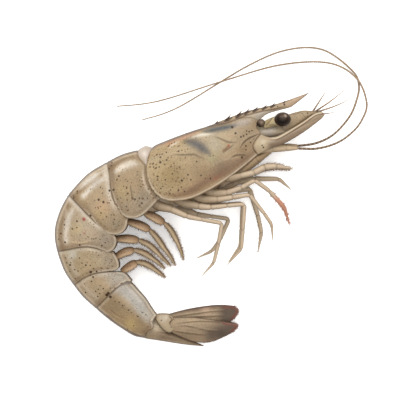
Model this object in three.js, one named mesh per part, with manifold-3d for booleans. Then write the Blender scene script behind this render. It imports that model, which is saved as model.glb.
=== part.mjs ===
// A raw brown shrimp with its head and shell on, lying on its left side.
//
// Millimetres, +Z up. The shrimp is drawn from its right side: +X points towards the rostrum's tip,
// +Y towards the back of the head, and Z is across the animal, so the right flank looks up. The finished
// group is moved so that the middle of its footprint is the origin and the left flank rests at Z = 0.
//
// Plates of shell are four-sided patches of the side view, thickened across the animal. Limbs, antennae and
// stalks are turned profiles bent along their joints.

import * as THREE from "three";
import { mergeVertices } from "three/addons/utils/BufferGeometryUtils.js";
import Module from "manifold-3d";

const wasm = await Module();
wasm.setup();

// ---- Driving dimensions -------------------------------------------------------------------------

const MID_HEIGHT = 6.6; // the animal's middle plane above the surface it lies on
const TAIL_MID_HEIGHT = 3.3; // the same plane at the tail fan, which sinks towards the surface
const LEAN_FROM = -10; // Y at which the abdomen starts to sink
const LEAN_TO = -43; // Y at which it is down

const CARAPACE_HALF_WIDTH = 6.8;
const CARAPACE_FRONT_HALF_WIDTH = 3.6;
const SOMITE_HALF_WIDTHS = [6.75, 6.7, 6.3, 5.6, 4.8, 4.2, 3.1]; // at the seven edges from carapace to tail
const SHELL_STEP = 0.3; // how far each somite's rear edge stands over the next one
const BACK_RIDGE = 0.3; // half width left along the back, where the two flanks meet
const ARCH_REACH = 0.6; // share of the height over which the back rounds over into the flank
const ARCH_POWER = 2.2;
const FLANK_TUCK = 0.16; // how far the flanks pull in again at the belly
const SEAM = 0.3; // gap between two plates, and between a limb and the body it comes out of

const ROSTRUM_TEETH = 8;
const ROSTRUM_HALF_THICKNESS = 0.85;
const TOOTH_HEIGHT = 0.85;
const TOOTH_LENGTH = 2.2;

const EYE_RADII = [2.5, 2.15, 1.95];
const EYE_PLACE = [21.6, 22.85];
const EYE_OFFSET = 4.45; // from the middle plane to an eye's centre
const BEAD_RADIUS = 1.2;
const BEAD_PLACE = [15.45, 21.75];
const BEAD_OFFSET = 3.4;

const LEG_SIDES = 6;
const PLEOPOD_SIDES = 7;
const PLEOPOD_RINGS = 10;
const PLEOPOD_BREADTH = 1.35; // how much wider a swimming leg is across the animal than it is deep
const ANTENNA_SIDES = 5;
const ANTENNA_RINGS = 54;
const KNEE_CUT = 1.2; // length of leg on each side of a joint that its bend takes up

const COLOURS = {
  carapace: 0xa89372,
  abdomen: 0xa6987f,
  membrane: 0xc8bcae,
  eye: 0x1d1613,
  head: 0xb09c7c,
  leg: 0xb5a286,
  redLeg: 0xc98e63,
  pleopod: 0x9c7f5c,
  antenna: 0x9a806b,
  tail: 0x8f8068,
};

// ---- Geometry helpers ---------------------------------------------------------------------------

const mix = (a, b, t) => a + (b - a) * t;
const smooth = (t) => {
  const x = Math.min(1, Math.max(0, t));
  return x * x * (3 - 2 * x);
};

// A value that runs smoothly through evenly spaced samples.
function profile(samples, t) {
  const x = Math.min(1, Math.max(0, t)) * (samples.length - 1);
  const i = Math.min(samples.length - 2, Math.floor(x));
  return mix(samples[i], samples[i + 1], smooth(x - i));
}

function midHeight(y) {
  return mix(MID_HEIGHT, TAIL_MID_HEIGHT, smooth((y - LEAN_FROM) / (LEAN_TO - LEAN_FROM)));
}

const cutBy = (shape, cutters) => cutters.reduce((left, cutter) => left.subtract(cutter), shape);

// The main piece of a solid that a cut has left in several.
const largest = (shape) =>
  shape.decompose().reduce((best, piece) => (piece.volume() > best.volume() ? piece : best));

// Moves every vertex of a geometry to map(x, y, z).
function warp(geometry, map) {
  const position = geometry.getAttribute("position");
  for (let i = 0; i < position.count; i++) {
    position.setXYZ(i, ...map(position.getX(i), position.getY(i), position.getZ(i)));
  }
  return geometry;
}

// A closed geometry as a solid. Triangles that a warp or a turned profile has collapsed are dropped.
function solid(geometry) {
  geometry.deleteAttribute("normal");
  geometry.deleteAttribute("uv");
  const merged = mergeVertices(geometry, 1e-4);
  const corners = merged.index.array;
  const kept = [];
  for (let i = 0; i < corners.length; i += 3) {
    const [a, b, c] = corners.subarray(i, i + 3);
    if (a !== b && b !== c && c !== a) kept.push(a, b, c);
  }
  const build = (triangles) =>
    new wasm.Manifold(
      new wasm.Mesh({
        numProp: 3,
        vertProperties: merged.getAttribute("position").array,
        triVerts: new Uint32Array(triangles),
      }),
    );
  const made = build(kept);
  return made.volume() > 0 ? made : build(kept.reverse());
}

function meshOf(name, shape, colour, roughness = 0.35) {
  const { numProp, vertProperties, triVerts } = shape.getMesh();
  const position = new Float32Array((vertProperties.length / numProp) * 3);
  for (let i = 0; i < position.length / 3; i++) {
    position.set(vertProperties.subarray(i * numProp, i * numProp + 3), i * 3);
  }
  const geometry = new THREE.BufferGeometry()
    .setAttribute("position", new THREE.BufferAttribute(position, 3))
    .setIndex(new THREE.BufferAttribute(triVerts, 1));
  geometry.computeVertexNormals();
  const mesh = new THREE.Mesh(
    geometry,
    new THREE.MeshStandardMaterial({ color: colour, roughness, metalness: 0 }),
  );
  mesh.name = name;
  return mesh;
}

const spline = (points) => new THREE.SplineCurve(points.map(([x, y]) => new THREE.Vector2(x, y)));

// The point of a four-sided patch: along runs from its front edge to its rear edge, down from back to belly.
function patchPoint({ front, rear, back, belly }, along, down) {
  const f = front.getPointAt(down);
  const r = rear.getPointAt(down);
  const d = back.getPointAt(along);
  const v = belly.getPointAt(along);
  const corner = (axis) =>
    (1 - along) * (1 - down) * front.getPointAt(0)[axis] +
    (1 - along) * down * front.getPointAt(1)[axis] +
    along * (1 - down) * rear.getPointAt(0)[axis] +
    along * down * rear.getPointAt(1)[axis];
  const at = (axis) =>
    (1 - along) * f[axis] + along * r[axis] + (1 - down) * d[axis] + down * v[axis] - corner(axis);
  return [at("x"), at("y")];
}

// Which way a patch runs at a point, as a unit vector towards higher along or down.
function patchHeading(patch, along, down, stepAlong, stepDown) {
  const clamp = (t) => Math.min(1, Math.max(0, t));
  const [x0, y0] = patchPoint(patch, clamp(along - stepAlong), clamp(down - stepDown));
  const [x1, y1] = patchPoint(patch, clamp(along + stepAlong), clamp(down + stepDown));
  return new THREE.Vector2(x1 - x0, y1 - y0).normalize();
}

// A solid plate of body. lateral(along, down, y) gives the height of its middle and its half width there.
// groove is the share of the height by which its belly is hollowed between the two flanks. growth swells
// the whole plate, for use as the cutter of what lies against it.
function plate(patch, lateral, [along, down, across], { groove = 0, growth = 0 } = {}) {
  const box = new THREE.BoxGeometry(1, 1, 1, along, down, across);
  const placed = warp(box, (a, d, c) => {
    const s = a + 0.5;
    const t = (d + 0.5) * (1 - groove * (1 - 4 * c * c));
    let [x, y] = patchPoint(patch, s, t);
    const { middle, half } = lateral(s, t, y);
    if (growth > 0) {
      const rearward = patchHeading(patch, s, t, 0.02, 0).multiplyScalar(2 * a * growth);
      const downward = patchHeading(patch, s, t, 0, 0.02).multiplyScalar(2 * d * growth);
      x += rearward.x + downward.x;
      y += rearward.y + downward.y;
    }
    return [x, y, Math.max(growth > 0 ? -growth : 0, middle + 2 * c * (half + growth))];
  });
  return solid(placed);
}

// Half width of the rounded back and flank, as a share of the widest, from the back's ridge down.
function arch(down) {
  if (down < ARCH_REACH) {
    return (1 - (1 - down / ARCH_REACH) ** ARCH_POWER) ** (1 / ARCH_POWER);
  }
  return 1 - FLANK_TUCK * ((down - ARCH_REACH) / (1 - ARCH_REACH)) ** 2;
}

// Half thickness of a leaf or blade, thickest along its middle.
const leaf = (down, full, edge) => mix(edge, full, Math.sin(Math.PI * Math.min(1, Math.max(0, down))));

// Rings along a path of straight pieces, each joint rounded into a bend.
function jointedRings(joints, radii) {
  const points = joints.map((p) => new THREE.Vector3(...p));
  const rings = [{ point: points[0], tangent: points[1].clone().sub(points[0]), radius: radii[0] }];
  for (let i = 1; i < points.length - 1; i++) {
    const before = points[i - 1].clone().sub(points[i]);
    const after = points[i + 1].clone().sub(points[i]);
    const cut = Math.min(KNEE_CUT, 0.45 * before.length(), 0.45 * after.length());
    const bend = new THREE.QuadraticBezierCurve3(
      points[i].clone().addScaledVector(before.normalize(), cut),
      points[i],
      points[i].clone().addScaledVector(after.normalize(), cut),
    );
    for (const t of [0, 0.5, 1]) {
      rings.push({ point: bend.getPoint(t), tangent: bend.getTangent(t), radius: radii[i] });
    }
  }
  const last = points.length - 1;
  rings.push({
    point: points[last],
    tangent: points[last].clone().sub(points[last - 1]),
    radius: radii[last],
  });
  return rings;
}

// Rings along one smooth curve, with the radius running through evenly spaced samples.
function smoothRings(points, radii, count) {
  const path = new THREE.CatmullRomCurve3(points.map((p) => new THREE.Vector3(...p)), false, "centripetal");
  return Array.from({ length: count }, (_, i) => {
    const t = i / (count - 1);
    return { point: path.getPointAt(t), tangent: path.getTangentAt(t), radius: profile(radii, t) };
  });
}

// A turned profile bent along its rings. breadth widens it across the animal.
function limb(rings, sides, breadth = 1) {
  const ends = [rings[0], ...rings, rings[rings.length - 1]];
  const outline = ends.map(
    ({ radius }, i) => new THREE.Vector2(i === 0 || i === ends.length - 1 ? 0 : radius, i),
  );
  const up = new THREE.Vector3(0, 0, 1);
  const frames = ends.map(({ point, tangent }) => {
    const forward = tangent.clone().normalize();
    const lateral = up.clone().addScaledVector(forward, -up.dot(forward)).normalize();
    return { point, lateral, sideways: lateral.clone().cross(forward) };
  });
  return solid(
    warp(new THREE.LatheGeometry(outline, sides), (x, k, z) => {
      const { point, lateral, sideways } = frames[Math.round(k)];
      const placed = point.clone().addScaledVector(sideways, x).addScaledVector(lateral, z * breadth);
      return [placed.x, placed.y, Math.max(0, placed.z)];
    }),
  );
}

function ellipsoid([x, y, z], [a, b, c], turn = 0, detail = [12, 8]) {
  const ball = new THREE.SphereGeometry(1, ...detail);
  ball.scale(a, b, c);
  ball.rotateZ(turn);
  ball.translate(x, y, z);
  return solid(ball);
}

// Limbs come in pairs: the right one lies above the middle plane and the left one below it.
const SIDES = [
  { side: "right", sign: 1 },
  { side: "left", sign: -1 },
];

// ---- Outlines of the side view ------------------------------------------------------------------

// Rear edges of the carapace and of the six somites, each from the back down to the flank's rear corner.
const REAR_EDGES = [
  [[-17.4, 14.5], [-18.5, 11.4], [-19.0, 7.8], [-18.4, 4.2], [-16.8, 1.2], [-14.4, -0.9]],
  [[-30.8, 10.3], [-29.9, 6.0], [-29.4, 1.8], [-28.3, -2.1], [-26.7, -5.3]],
  [[-42.4, 0.6], [-38.1, -3.7], [-35.2, -6.8], [-32.7, -10.3]],
  [[-45.9, -16.6], [-42.2, -15.9], [-38.3, -15.2], [-34.7, -15.4], [-30.6, -16.9]],
  [[-40.9, -26.9], [-37.8, -24.5], [-34.7, -23.2], [-31.6, -22.7], [-28.8, -22.4]],
  [[-34.4, -33.8], [-30.0, -29.3], [-25.9, -26.1], [-23.3, -25.5]],
  [[-19.6, -42.8], [-18.9, -40.8], [-17.0, -39.6], [-17.1, -37.6], [-16.0, -35.7]],
];

// Rounded lower edges of the six flanks, from the front to just before the flank's rear corner.
const BELLY_EDGES = [
  [[-15.6, -1.4], [-18.9, -4.8], [-21.6, -6.5], [-24.6, -6.6]],
  [[-24.4, -7.3], [-25.1, -9.8], [-27.0, -11.4], [-29.7, -11.5]],
  [[-28.2, -11.9], [-27.8, -13.2], [-28.1, -14.9], [-29.1, -16.3]],
  [[-28.4, -17.2], [-27.5, -18.8], [-27.1, -20.4], [-27.4, -21.7]],
  [[-27.3, -22.6], [-25.8, -22.9], [-24.6, -23.8]],
  [[-23.3, -26.2], [-21.1, -28.7], [-19.2, -30.9], [-17.6, -33.4]],
];

// What the back of each somite passes through between the rear edge in front of it and its own.
const BACKS = [
  [[-26.4, 12.5]],
  [[-36.9, 6.5]],
  [[-44.7, -3.6], [-46.3, -8.4], [-46.6, -12.4]],
  [[-44.8, -19.9], [-43.4, -23.2]],
  [[-38.2, -30.3]],
  [[-30.3, -37.3], [-26.4, -40.0], [-22.9, -42.1]],
];

// How much of the edge in front each somite's own front edge follows before its flank comes free of it.
const FRONT_SHARES = [0, 0.97, 0.92, 0.93, 0.94, 0.97];

const HINGE_REAR = [[-21.5, 13.8], [-21.1, 11.7], [-18.95, 9.4]];
const FIRST_SOMITE_FRONT = [
  [-21.8, 13.8], [-21.4, 11.6], [-19.4, 9.0], [-19.3, 6.0], [-18.4, 3.2], [-15.6, -1.4],
];
const CARAPACE_FRONT = [
  [14.4, 22.9], [13.9, 20.7], [15.0, 18.8], [13.6, 16.7], [12.8, 14.6], [14.3, 12.2],
];
const CARAPACE_BACK = [
  [14.4, 22.9], [11.6, 23.8], [6.6, 22.8], [-4.5, 19.8], [-15.0, 15.9], [-17.4, 14.5],
];
const CARAPACE_BELLY = [
  [14.3, 12.2], [9.9, 8.5], [4.5, 4.5], [-0.9, 1.3], [-6.0, -0.9], [-11.4, -1.6], [-14.4, -0.9],
];
const ROSTRUM_TOP = [[-2.4, 20.2], [5.7, 23.5], [12.0, 25.7], [20.1, 27.7], [29.8, 31.1]];
const ROSTRUM_BOTTOM = [[29.8, 30.9], [25.2, 27.3], [23.7, 26.5], [17.4, 24.7], [13.6, 22.2], [6.0, 20.4]];

// ---- Carapace and thorax ------------------------------------------------------------------------

const carapacePatch = {
  front: spline(CARAPACE_FRONT),
  rear: spline(REAR_EDGES[0]),
  back: spline(CARAPACE_BACK),
  belly: spline(CARAPACE_BELLY),
};

// Depth of the curved groove that runs over the flank behind the stomach, and of the one above the gills.
const bump = (offset, width) => Math.exp(-((offset / width) ** 2));

function carapaceGroove(along, down) {
  const stomach = bump(along - 0.44 + 0.45 * (down - 0.35), 0.045) * bump(down - 0.35, 0.22);
  const gills = bump(down - 0.4 - 0.35 * (along - 0.75) ** 2, 0.045) * bump(along - 0.75, 0.16);
  return 0.35 * stomach + 0.22 * gills;
}

function carapaceBody(growth = 0) {
  const lateral = (along, down) => {
    const widest = profile(
      [CARAPACE_FRONT_HALF_WIDTH, 5.0, 6.2, CARAPACE_HALF_WIDTH, CARAPACE_HALF_WIDTH],
      along,
    );
    const half = widest * arch(down) - carapaceGroove(along, down);
    return { middle: MID_HEIGHT, half: Math.max(BACK_RIDGE, half) };
  };
  return plate(carapacePatch, lateral, growth > 0 ? [12, 11, 2] : [18, 11, 4], { groove: 0.2, growth });
}

function rostrum() {
  const top = spline(ROSTRUM_TOP);
  const outline = new THREE.Shape();
  outline.moveTo(...ROSTRUM_TOP[0]);
  for (let i = 0; i < ROSTRUM_TEETH; i++) {
    const foot = top.getPointAt(mix(0.1, 0.76, i / (ROSTRUM_TEETH - 1)));
    outline.lineTo(foot.x, foot.y);
    outline.lineTo(foot.x + 0.8 * TOOTH_LENGTH, foot.y + 0.3 * TOOTH_LENGTH + TOOTH_HEIGHT);
    outline.lineTo(foot.x + 0.75 * TOOTH_LENGTH, foot.y + 0.27 * TOOTH_LENGTH);
  }
  outline.lineTo(...ROSTRUM_TOP[ROSTRUM_TOP.length - 1]);
  for (const [x, y] of ROSTRUM_BOTTOM) outline.lineTo(x, y);
  const blade = new THREE.ExtrudeGeometry(outline, { depth: 2, steps: 2, bevelEnabled: false });
  const foot = ROSTRUM_TOP[0][0];
  const length = ROSTRUM_TOP[ROSTRUM_TOP.length - 1][0] - foot;
  return solid(
    warp(blade, (x, y, z) => {
      const half = ROSTRUM_HALF_THICKNESS * mix(1, 0.25, (x - foot) / length);
      return [x, y, MID_HEIGHT + (z - 1) * half];
    }),
  );
}

const carapace = carapaceBody().add(rostrum());
const carapaceCutter = carapaceBody(SEAM);

function hingeLobe() {
  const patch = {
    front: spline([[-17.75, 14.4], [-18.4, 12.6], [-18.7, 9.6]]),
    rear: spline(HINGE_REAR),
    back: spline([[-17.75, 14.4], [-19.5, 14.9], [-21.5, 13.8]]),
    belly: spline([[-18.7, 9.6], [-18.95, 9.4]]),
  };
  const lateral = (along, down) => ({
    middle: MID_HEIGHT,
    half: BACK_RIDGE + 5.9 * arch(0.3 * down) * (1 + 0.1 * Math.sin(Math.PI * along)),
  });
  return largest(cutBy(plate(patch, lateral, [4, 6, 2]), [carapaceCutter, somiteCutters[0]]));
}

// The underside of the thorax, which the legs come out of. It fills the hollow between the carapace's flanks.
function thoraxUnderside(growth = 0) {
  const patch = {
    front: spline([[7.6, 8.4], [8.6, 5.6]]),
    rear: spline([[-15.2, 1.6], [-17.4, -2.4], [-17.5, -4.8]]),
    back: spline([[7.6, 8.4], [-1.0, 4.4], [-9.0, 2.2], [-15.2, 1.6]]),
    belly: spline([[8.6, 5.6], [4.7, 3.0], [-0.7, 0.0], [-6.0, -2.1], [-17.5, -4.8]]),
  };
  const lateral = (along, down) => ({ middle: MID_HEIGHT, half: mix(3.9, 2.8, down) });
  return plate(patch, lateral, [10, 3, 2], { growth });
}

// ---- Abdomen ------------------------------------------------------------------------------------

// The front edge of somite i, which follows the edge in front of it until its own flank comes free.
function somiteFront(i) {
  if (i === 0) return FIRST_SOMITE_FRONT;
  const ahead = spline(REAR_EDGES[i]);
  const followed = [0, 0.25, 0.5, 0.75].map((t) => ahead.getPointAt(t * FRONT_SHARES[i]).toArray());
  return [...followed, BELLY_EDGES[i][0]];
}

function somite(i, growth = 0) {
  const front = somiteFront(i);
  const rear = REAR_EDGES[i + 1];
  const patch = {
    front: spline(front),
    rear: spline(rear),
    back: spline([front[0], ...BACKS[i], rear[0]]),
    belly: spline([...BELLY_EDGES[i], rear[rear.length - 1]]),
  };
  const lateral = (along, down, y) => {
    const widest = mix(SOMITE_HALF_WIDTHS[i], SOMITE_HALF_WIDTHS[i + 1] + SHELL_STEP, along);
    const bulge = 1 + 0.025 * Math.sin(Math.PI * along);
    return { middle: midHeight(y), half: Math.max(BACK_RIDGE, widest * bulge * arch(down)) };
  };
  return plate(patch, lateral, [i === 5 ? 8 : 5, 9, 2], { groove: 0.14, growth });
}

// Each somite's rear edge stands over the next somite, which is cut back from it by the seam.
const somiteCutters = [0, 1, 2, 3, 4, 5].map((i) => somite(i, SEAM));
const somites = somiteCutters.map((_, i) => {
  const ahead = i === 0 ? carapaceCutter : somiteCutters[i - 1];
  return largest(somite(i).subtract(ahead));
});

// ---- Tail fan -----------------------------------------------------------------------------------

function telson(growth = 0) {
  const patch = {
    front: spline([[-19.3, -42.95], [-18.5, -41.0], [-16.6, -39.7], [-16.7, -37.4]]),
    rear: spline([[-1.9, -45.3], [-1.9, -45.0]]),
    back: spline([[-19.3, -42.95], [-15.0, -43.6], [-8.0, -44.7], [-1.9, -45.3]]),
    belly: spline([[-16.7, -37.4], [-12.6, -40.4], [-6.6, -43.0], [-1.9, -45.0]]),
  };
  const lateral = (along, down, y) => ({
    middle: midHeight(y),
    half: leaf(0.15 + 0.7 * down, mix(2.4, 0.5, along), 0.25),
  });
  return plate(patch, lateral, [8, 4, 2], { growth });
}

// One blade of the fan's two on each side. offset is its distance from the middle plane at its root and tip.
function tailBlade(patch, offset, half, sign) {
  const lateral = (along, down, y) => ({
    middle: midHeight(y) + sign * mix(offset[0], offset[1], along),
    half: leaf(down, half, 0.12),
  });
  return plate(patch, lateral, [8, 5, 1]);
}

const OUTER_BLADE = {
  front: spline([[-12.4, -36.5], [-12.5, -38.6], [-12.9, -40.1]]),
  rear: spline([[7.2, -38.2], [8.5, -39.1], [7.0, -40.9]]),
  back: spline([[-12.4, -36.5], [-5.6, -36.4], [-1.9, -36.8], [3.4, -37.6], [7.2, -38.2]]),
  belly: spline([[-12.9, -40.1], [-9.8, -41.9], [-4.3, -43.9], [0.8, -43.7], [7.0, -40.9]]),
};
const INNER_BLADE = {
  front: spline([[-13.6, -35.9], [-13.2, -37.2]]),
  rear: spline([[7.4, -33.1], [8.7, -34.7], [7.2, -37.0]]),
  back: spline([[-13.6, -35.9], [-7.5, -34.2], [-1.1, -33.1], [3.5, -32.8], [7.4, -33.1]]),
  belly: spline([[-13.2, -37.2], [-5.6, -37.7], [-1.9, -38.1], [4.4, -38.5], [7.2, -37.0]]),
};

const TAIL_BASE_PLACE = [-13.8, -37.7];
const TAIL_BASE_RADII = [2.7, 1.9, 0.9];

function tailBase(sign, growth = 0) {
  const [x, y] = TAIL_BASE_PLACE;
  const radii = TAIL_BASE_RADII.map((r) => r + growth);
  return ellipsoid([x, y, midHeight(y) + sign * 2.1], radii, -0.55, [10, 6]);
}

// ---- Head ---------------------------------------------------------------------------------------

function headCore(growth = 0) {
  const patch = {
    front: spline([[21.2, 20.7], [21.5, 17.0]]),
    rear: spline([[14.8, 21.7], [14.3, 20.8], [15.4, 18.9], [14.0, 16.6], [14.3, 15.4]]),
    back: spline([[14.8, 21.7], [17.8, 22.4], [21.2, 20.7]]),
    belly: spline([[14.3, 15.4], [18.0, 16.0], [21.5, 17.0]]),
  };
  const lateral = (along, down) => ({
    middle: MID_HEIGHT,
    half: leaf(0.2 + 0.6 * down, mix(1.9, 2.45, along), 0.6),
  });
  return plate(patch, lateral, [5, 5, 2], { growth });
}

// Outlines here run from the tip, which is the front, back to the base.
const ANTENNULE = {
  front: spline([[31.6, 25.3], [31.8, 24.4]]),
  rear: spline([[22.3, 24.0], [22.0, 21.4], [22.9, 18.2]]),
  back: spline([[31.6, 25.3], [28.1, 25.6], [24.6, 24.8], [22.3, 24.0]]),
  belly: spline([[31.8, 24.4], [27.9, 21.7], [22.9, 18.2]]),
};
const SCALE = {
  front: spline([[34.0, 24.5], [33.5, 23.5]]),
  rear: spline([[15.4, 18.4], [14.0, 16.7], [13.2, 14.6], [14.7, 12.5]]),
  back: spline([[34.0, 24.5], [27.2, 21.4], [20.6, 17.8], [17.6, 17.6], [15.4, 18.4]]),
  belly: spline([[33.5, 23.5], [28.5, 19.4], [22.8, 16.0], [17.6, 14.0], [14.7, 12.5]]),
};

// The four short feelers at the tip of the antennules: each side carries two.
const WHISKERS = {
  right: [
    [[31.2, 25.1], [35.4, 27.9], [38.4, 30.2], [40.7, 32.3]],
    [[31.2, 24.9], [36.5, 26.6], [40.0, 28.1], [42.3, 29.5]],
  ],
  left: [
    [[30.8, 25.2], [33.1, 28.8], [35.2, 32.0]],
    [[31.2, 24.9], [34.2, 24.7], [37.5, 25.2]],
  ],
};

function antennule({ side, sign }) {
  const middle = MID_HEIGHT + sign * 1.25;
  const lateral = (along, down) => ({ middle, half: leaf(0.15 + 0.7 * down, mix(0.6, 1.0, along), 0.2) });
  const body = plate(ANTENNULE, lateral, [6, 4, 1]);
  return WHISKERS[side].reduce((whole, points) => {
    const path = points.map(([x, y], i) => [x, y, middle - 0.5 * sign * (i > 1) - 0.25 * i]);
    return whole.add(limb(smoothRings(path, [0.3, 0.22, 0.1], 9), 5));
  }, body);
}

function antennalScale(sign) {
  const lateral = (along, down) => ({
    middle: MID_HEIGHT + sign * 3.45,
    half: mix(0.4, 1.05, along ** 2) * leaf(down, 1, 0.5),
  });
  return plate(SCALE, lateral, [8, 3, 1]);
}

const ANTENNA_BASE = {
  right: [[14.9, 13.6], [18.7, 14.3], [22.8, 14.4], [26.2, 14.3]],
  left: [[14.9, 13.6], [18.7, 14.4], [22.8, 14.8], [26.2, 15.1]],
};

function antennaBase({ side, sign }) {
  const joints = ANTENNA_BASE[side].map(([x, y]) => [x, y, MID_HEIGHT + sign * 1.4]);
  return limb(jointedRings(joints, [1.0, 1.1, 1.05, 0.6]), 8);
}

// The two long feelers sweep forward, round and back over the shrimp. They sink to the surface and lie on it,
// the right one passing over the left one twice. Each point is [x, y, height above the surface].
const FLAGELLA = {
  right: [
    [26.5, 14.3, 8.0], [31.9, 14.2, 7.4], [38.0, 15.9, 6.3], [42.6, 19.0, 5.0], [45.7, 22.8, 3.8],
    [47.3, 28.2, 2.7], [44.1, 35.8, 1.9], [35.7, 40.3, 1.0], [21.2, 39.7, 0.5], [4.3, 34.9, 1.1],
    [-15.5, 28.8, 0.4], [-28.2, 27.2, 0.2],
  ],
  left: [
    [26.5, 15.1, 5.2], [31.9, 15.9, 4.5], [37.3, 18.6, 3.4], [41.9, 23.6, 2.1], [44.1, 28.2, 1.2],
    [45.1, 33.5, 0.6], [43.0, 38.1, 0.45], [34.2, 44.3, 0.4], [23.5, 44.3, 0.4], [11.2, 39.3, 0.3],
    [-9.4, 27.0, 0.25], [-20.5, 23.1, 0.2],
  ],
};
const FLAGELLUM_RADII = [0.42, 0.38, 0.33, 0.29, 0.25, 0.2, 0.15];

const flagellum = ({ side }) =>
  limb(smoothRings(FLAGELLA[side], FLAGELLUM_RADII, ANTENNA_RINGS), ANTENNA_SIDES);

const eye = (sign) => ellipsoid([...EYE_PLACE, MID_HEIGHT + sign * EYE_OFFSET], EYE_RADII, 0.1);
const bead = (sign) =>
  ellipsoid([...BEAD_PLACE, MID_HEIGHT + sign * BEAD_OFFSET], [BEAD_RADIUS, BEAD_RADIUS, 0.95], 0, [10, 7]);

function eyestalk(sign) {
  const joints = [[16.9, 21.3, 2.6], [18.2, 21.9, 3.3], [20.6, 22.6, 4.3]];
  const path = joints.map(([x, y, z]) => [x, y, MID_HEIGHT + sign * z]);
  const grown = EYE_RADII.map((r) => r + SEAM);
  const socket = ellipsoid([...EYE_PLACE, MID_HEIGHT + sign * EYE_OFFSET], grown, 0.1);
  const place = [...BEAD_PLACE, MID_HEIGHT + sign * BEAD_OFFSET];
  const pearl = ellipsoid(place, Array(3).fill(BEAD_RADIUS + SEAM));
  return limb(jointedRings(path, [1.25, 1.4, 1.6]), 8).subtract(socket).subtract(pearl);
}

// ---- Legs ---------------------------------------------------------------------------------------

// Joints run from a leg's root to its claw, each [x, y, distance out from the middle plane on its own side].
const JAW_FOOT = [[5.4, 5.2, 1.5], [9.6, 7.6, 1.7], [14.0, 10.5, 1.7], [17.7, 12.6, 1.5]];
const JAW_FOOT_RADII = [1.0, 1.35, 1.2, 0.35];

const LEGS = [
  {
    right: [
      [5.6, 5.2, 3.3], [9.0, 6.0, 3.4], [13.2, 7.0, 3.3], [16.3, 8.7, 3.0], [19.6, 9.0, 2.6],
      [24.7, 8.2, 2.0],
    ],
    left: [
      [5.2, 4.8, 3.0], [8.8, 5.7, 3.8], [13.0, 6.8, 4.5], [16.2, 8.4, 5.0], [19.4, 8.8, 5.3],
      [24.2, 8.0, 5.8],
    ],
    radii: [0.8, 0.65, 0.6, 0.7, 0.65, 0.12],
  },
  {
    right: [
      [0.9, 0.8, 2.6], [5.1, 0.9, 3.0], [9.4, 2.5, 3.5], [13.3, 4.7, 4.0], [17.7, 1.5, 3.2],
      [22.2, -3.4, 1.6], [23.9, -8.6, 0],
    ],
    left: [[4.2, 2.9, 2.6], [8.4, 4.3, 3.2], [13.3, 5.2, 4.2], [20.9, 5.2, 5.2], [24.6, 1.9, 5.8]],
    radii: [0.95, 0.8, 0.7, 0.6, 0.6, 0.65, 0.12],
  },
  {
    right: [
      [-2.4, -0.9, 2.6], [2.2, -1.1, 2.9], [6.8, -0.4, 3.4], [11.7, 0.4, 3.8], [16.4, -5.5, 2.8],
      [18.5, -8.6, 1.8], [18.8, -13.5, 0.2],
    ],
    left: [
      [1.6, 1.0, 2.6], [7.8, 1.8, 3.2], [11.9, 2.2, 4.0], [14.5, -6.0, 5.0], [15.6, -11.1, 5.6],
      [14.5, -17.1, 6.1],
    ],
    radii: [0.95, 0.8, 0.7, 0.6, 0.55, 0.5, 0.1],
  },
  {
    right: [
      [-8.3, -1.9, 2.6], [-3.1, -3.1, 2.8], [0.1, -3.4, 3.0], [5.1, -2.9, 3.6], [10.3, -2.4, 4.2],
      [9.8, -10.3, 3.2], [9.4, -15.8, 2.2], [5.0, -20.9, 0.4],
    ],
    left: [
      [-8.0, -1.8, 2.6], [-2.9, -2.7, 3.0], [0.4, -2.9, 3.2], [5.3, -2.5, 3.8], [9.9, -2.2, 4.4],
      [9.5, -10.0, 5.2], [9.2, -15.2, 5.6], [5.6, -20.0, 6.1],
    ],
    radii: [1.0, 0.85, 0.7, 0.6, 0.6, 0.55, 0.5, 0.1],
  },
  {
    right: [
      [-15.4, -2.9, 2.6], [-11.6, -3.9, 2.8], [-6.8, -6.1, 3.2], [-2.6, -7.0, 3.6], [3.6, -8.1, 4.2],
      [2.5, -14.3, 3.2], [1.1, -20.0, 2.4], [-2.6, -24.1, 0.6],
    ],
    left: [
      [-12.4, -2.6, 2.6], [-6.6, -4.5, 3.2], [-4.2, -5.5, 3.6], [0.1, -6.1, 4.2], [5.8, -6.9, 4.8],
      [3.0, -13.3, 5.3], [0.7, -16.6, 5.6], [-4.2, -18.9, 6.1],
    ],
    radii: [1.05, 0.9, 0.7, 0.6, 0.6, 0.55, 0.5, 0.1],
  },
];

function jointedLeg(joints, radii, sign) {
  const path = joints.map(([x, y, out]) => [x, y, MID_HEIGHT + sign * out]);
  const sizes = path.map((_, i) => (i === path.length - 1 ? radii[radii.length - 1] : radii[i]));
  return limb(jointedRings(path, sizes), LEG_SIDES);
}

// ---- Swimming legs ------------------------------------------------------------------------------

// Each has a stout base, its first three points, and a long blade that bends back from it.
const PLEOPODS = [
  [
    [-19.6, -5.0], [-16.4, -6.5], [-13.6, -8.2],
    [-11.9, -10.0], [-10.0, -13.3], [-8.7, -16.4], [-7.9, -19.4],
  ],
  [
    [-24.6, -7.6], [-21.0, -8.7], [-17.9, -10.3],
    [-15.8, -12.7], [-13.9, -15.4], [-11.9, -18.1], [-10.3, -21.0],
  ],
  [
    [-28.4, -12.8], [-24.8, -12.8], [-21.2, -13.3],
    [-18.1, -14.8], [-15.8, -16.9], [-13.9, -18.9], [-11.6, -21.1],
  ],
  [
    [-28.4, -18.4], [-25.5, -16.8], [-22.6, -16.2],
    [-19.6, -17.2], [-16.7, -19.1], [-14.8, -20.6], [-13.5, -21.9],
  ],
  [
    [-26.4, -22.6], [-24.0, -21.0], [-21.8, -19.8],
    [-19.2, -20.4], [-16.7, -21.9], [-14.6, -23.5], [-13.3, -24.6],
  ],
];
const PLEOPOD_RADII = [1.05, 1.3, 1.1, 0.8, 0.85, 0.6, 0.12];
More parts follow.
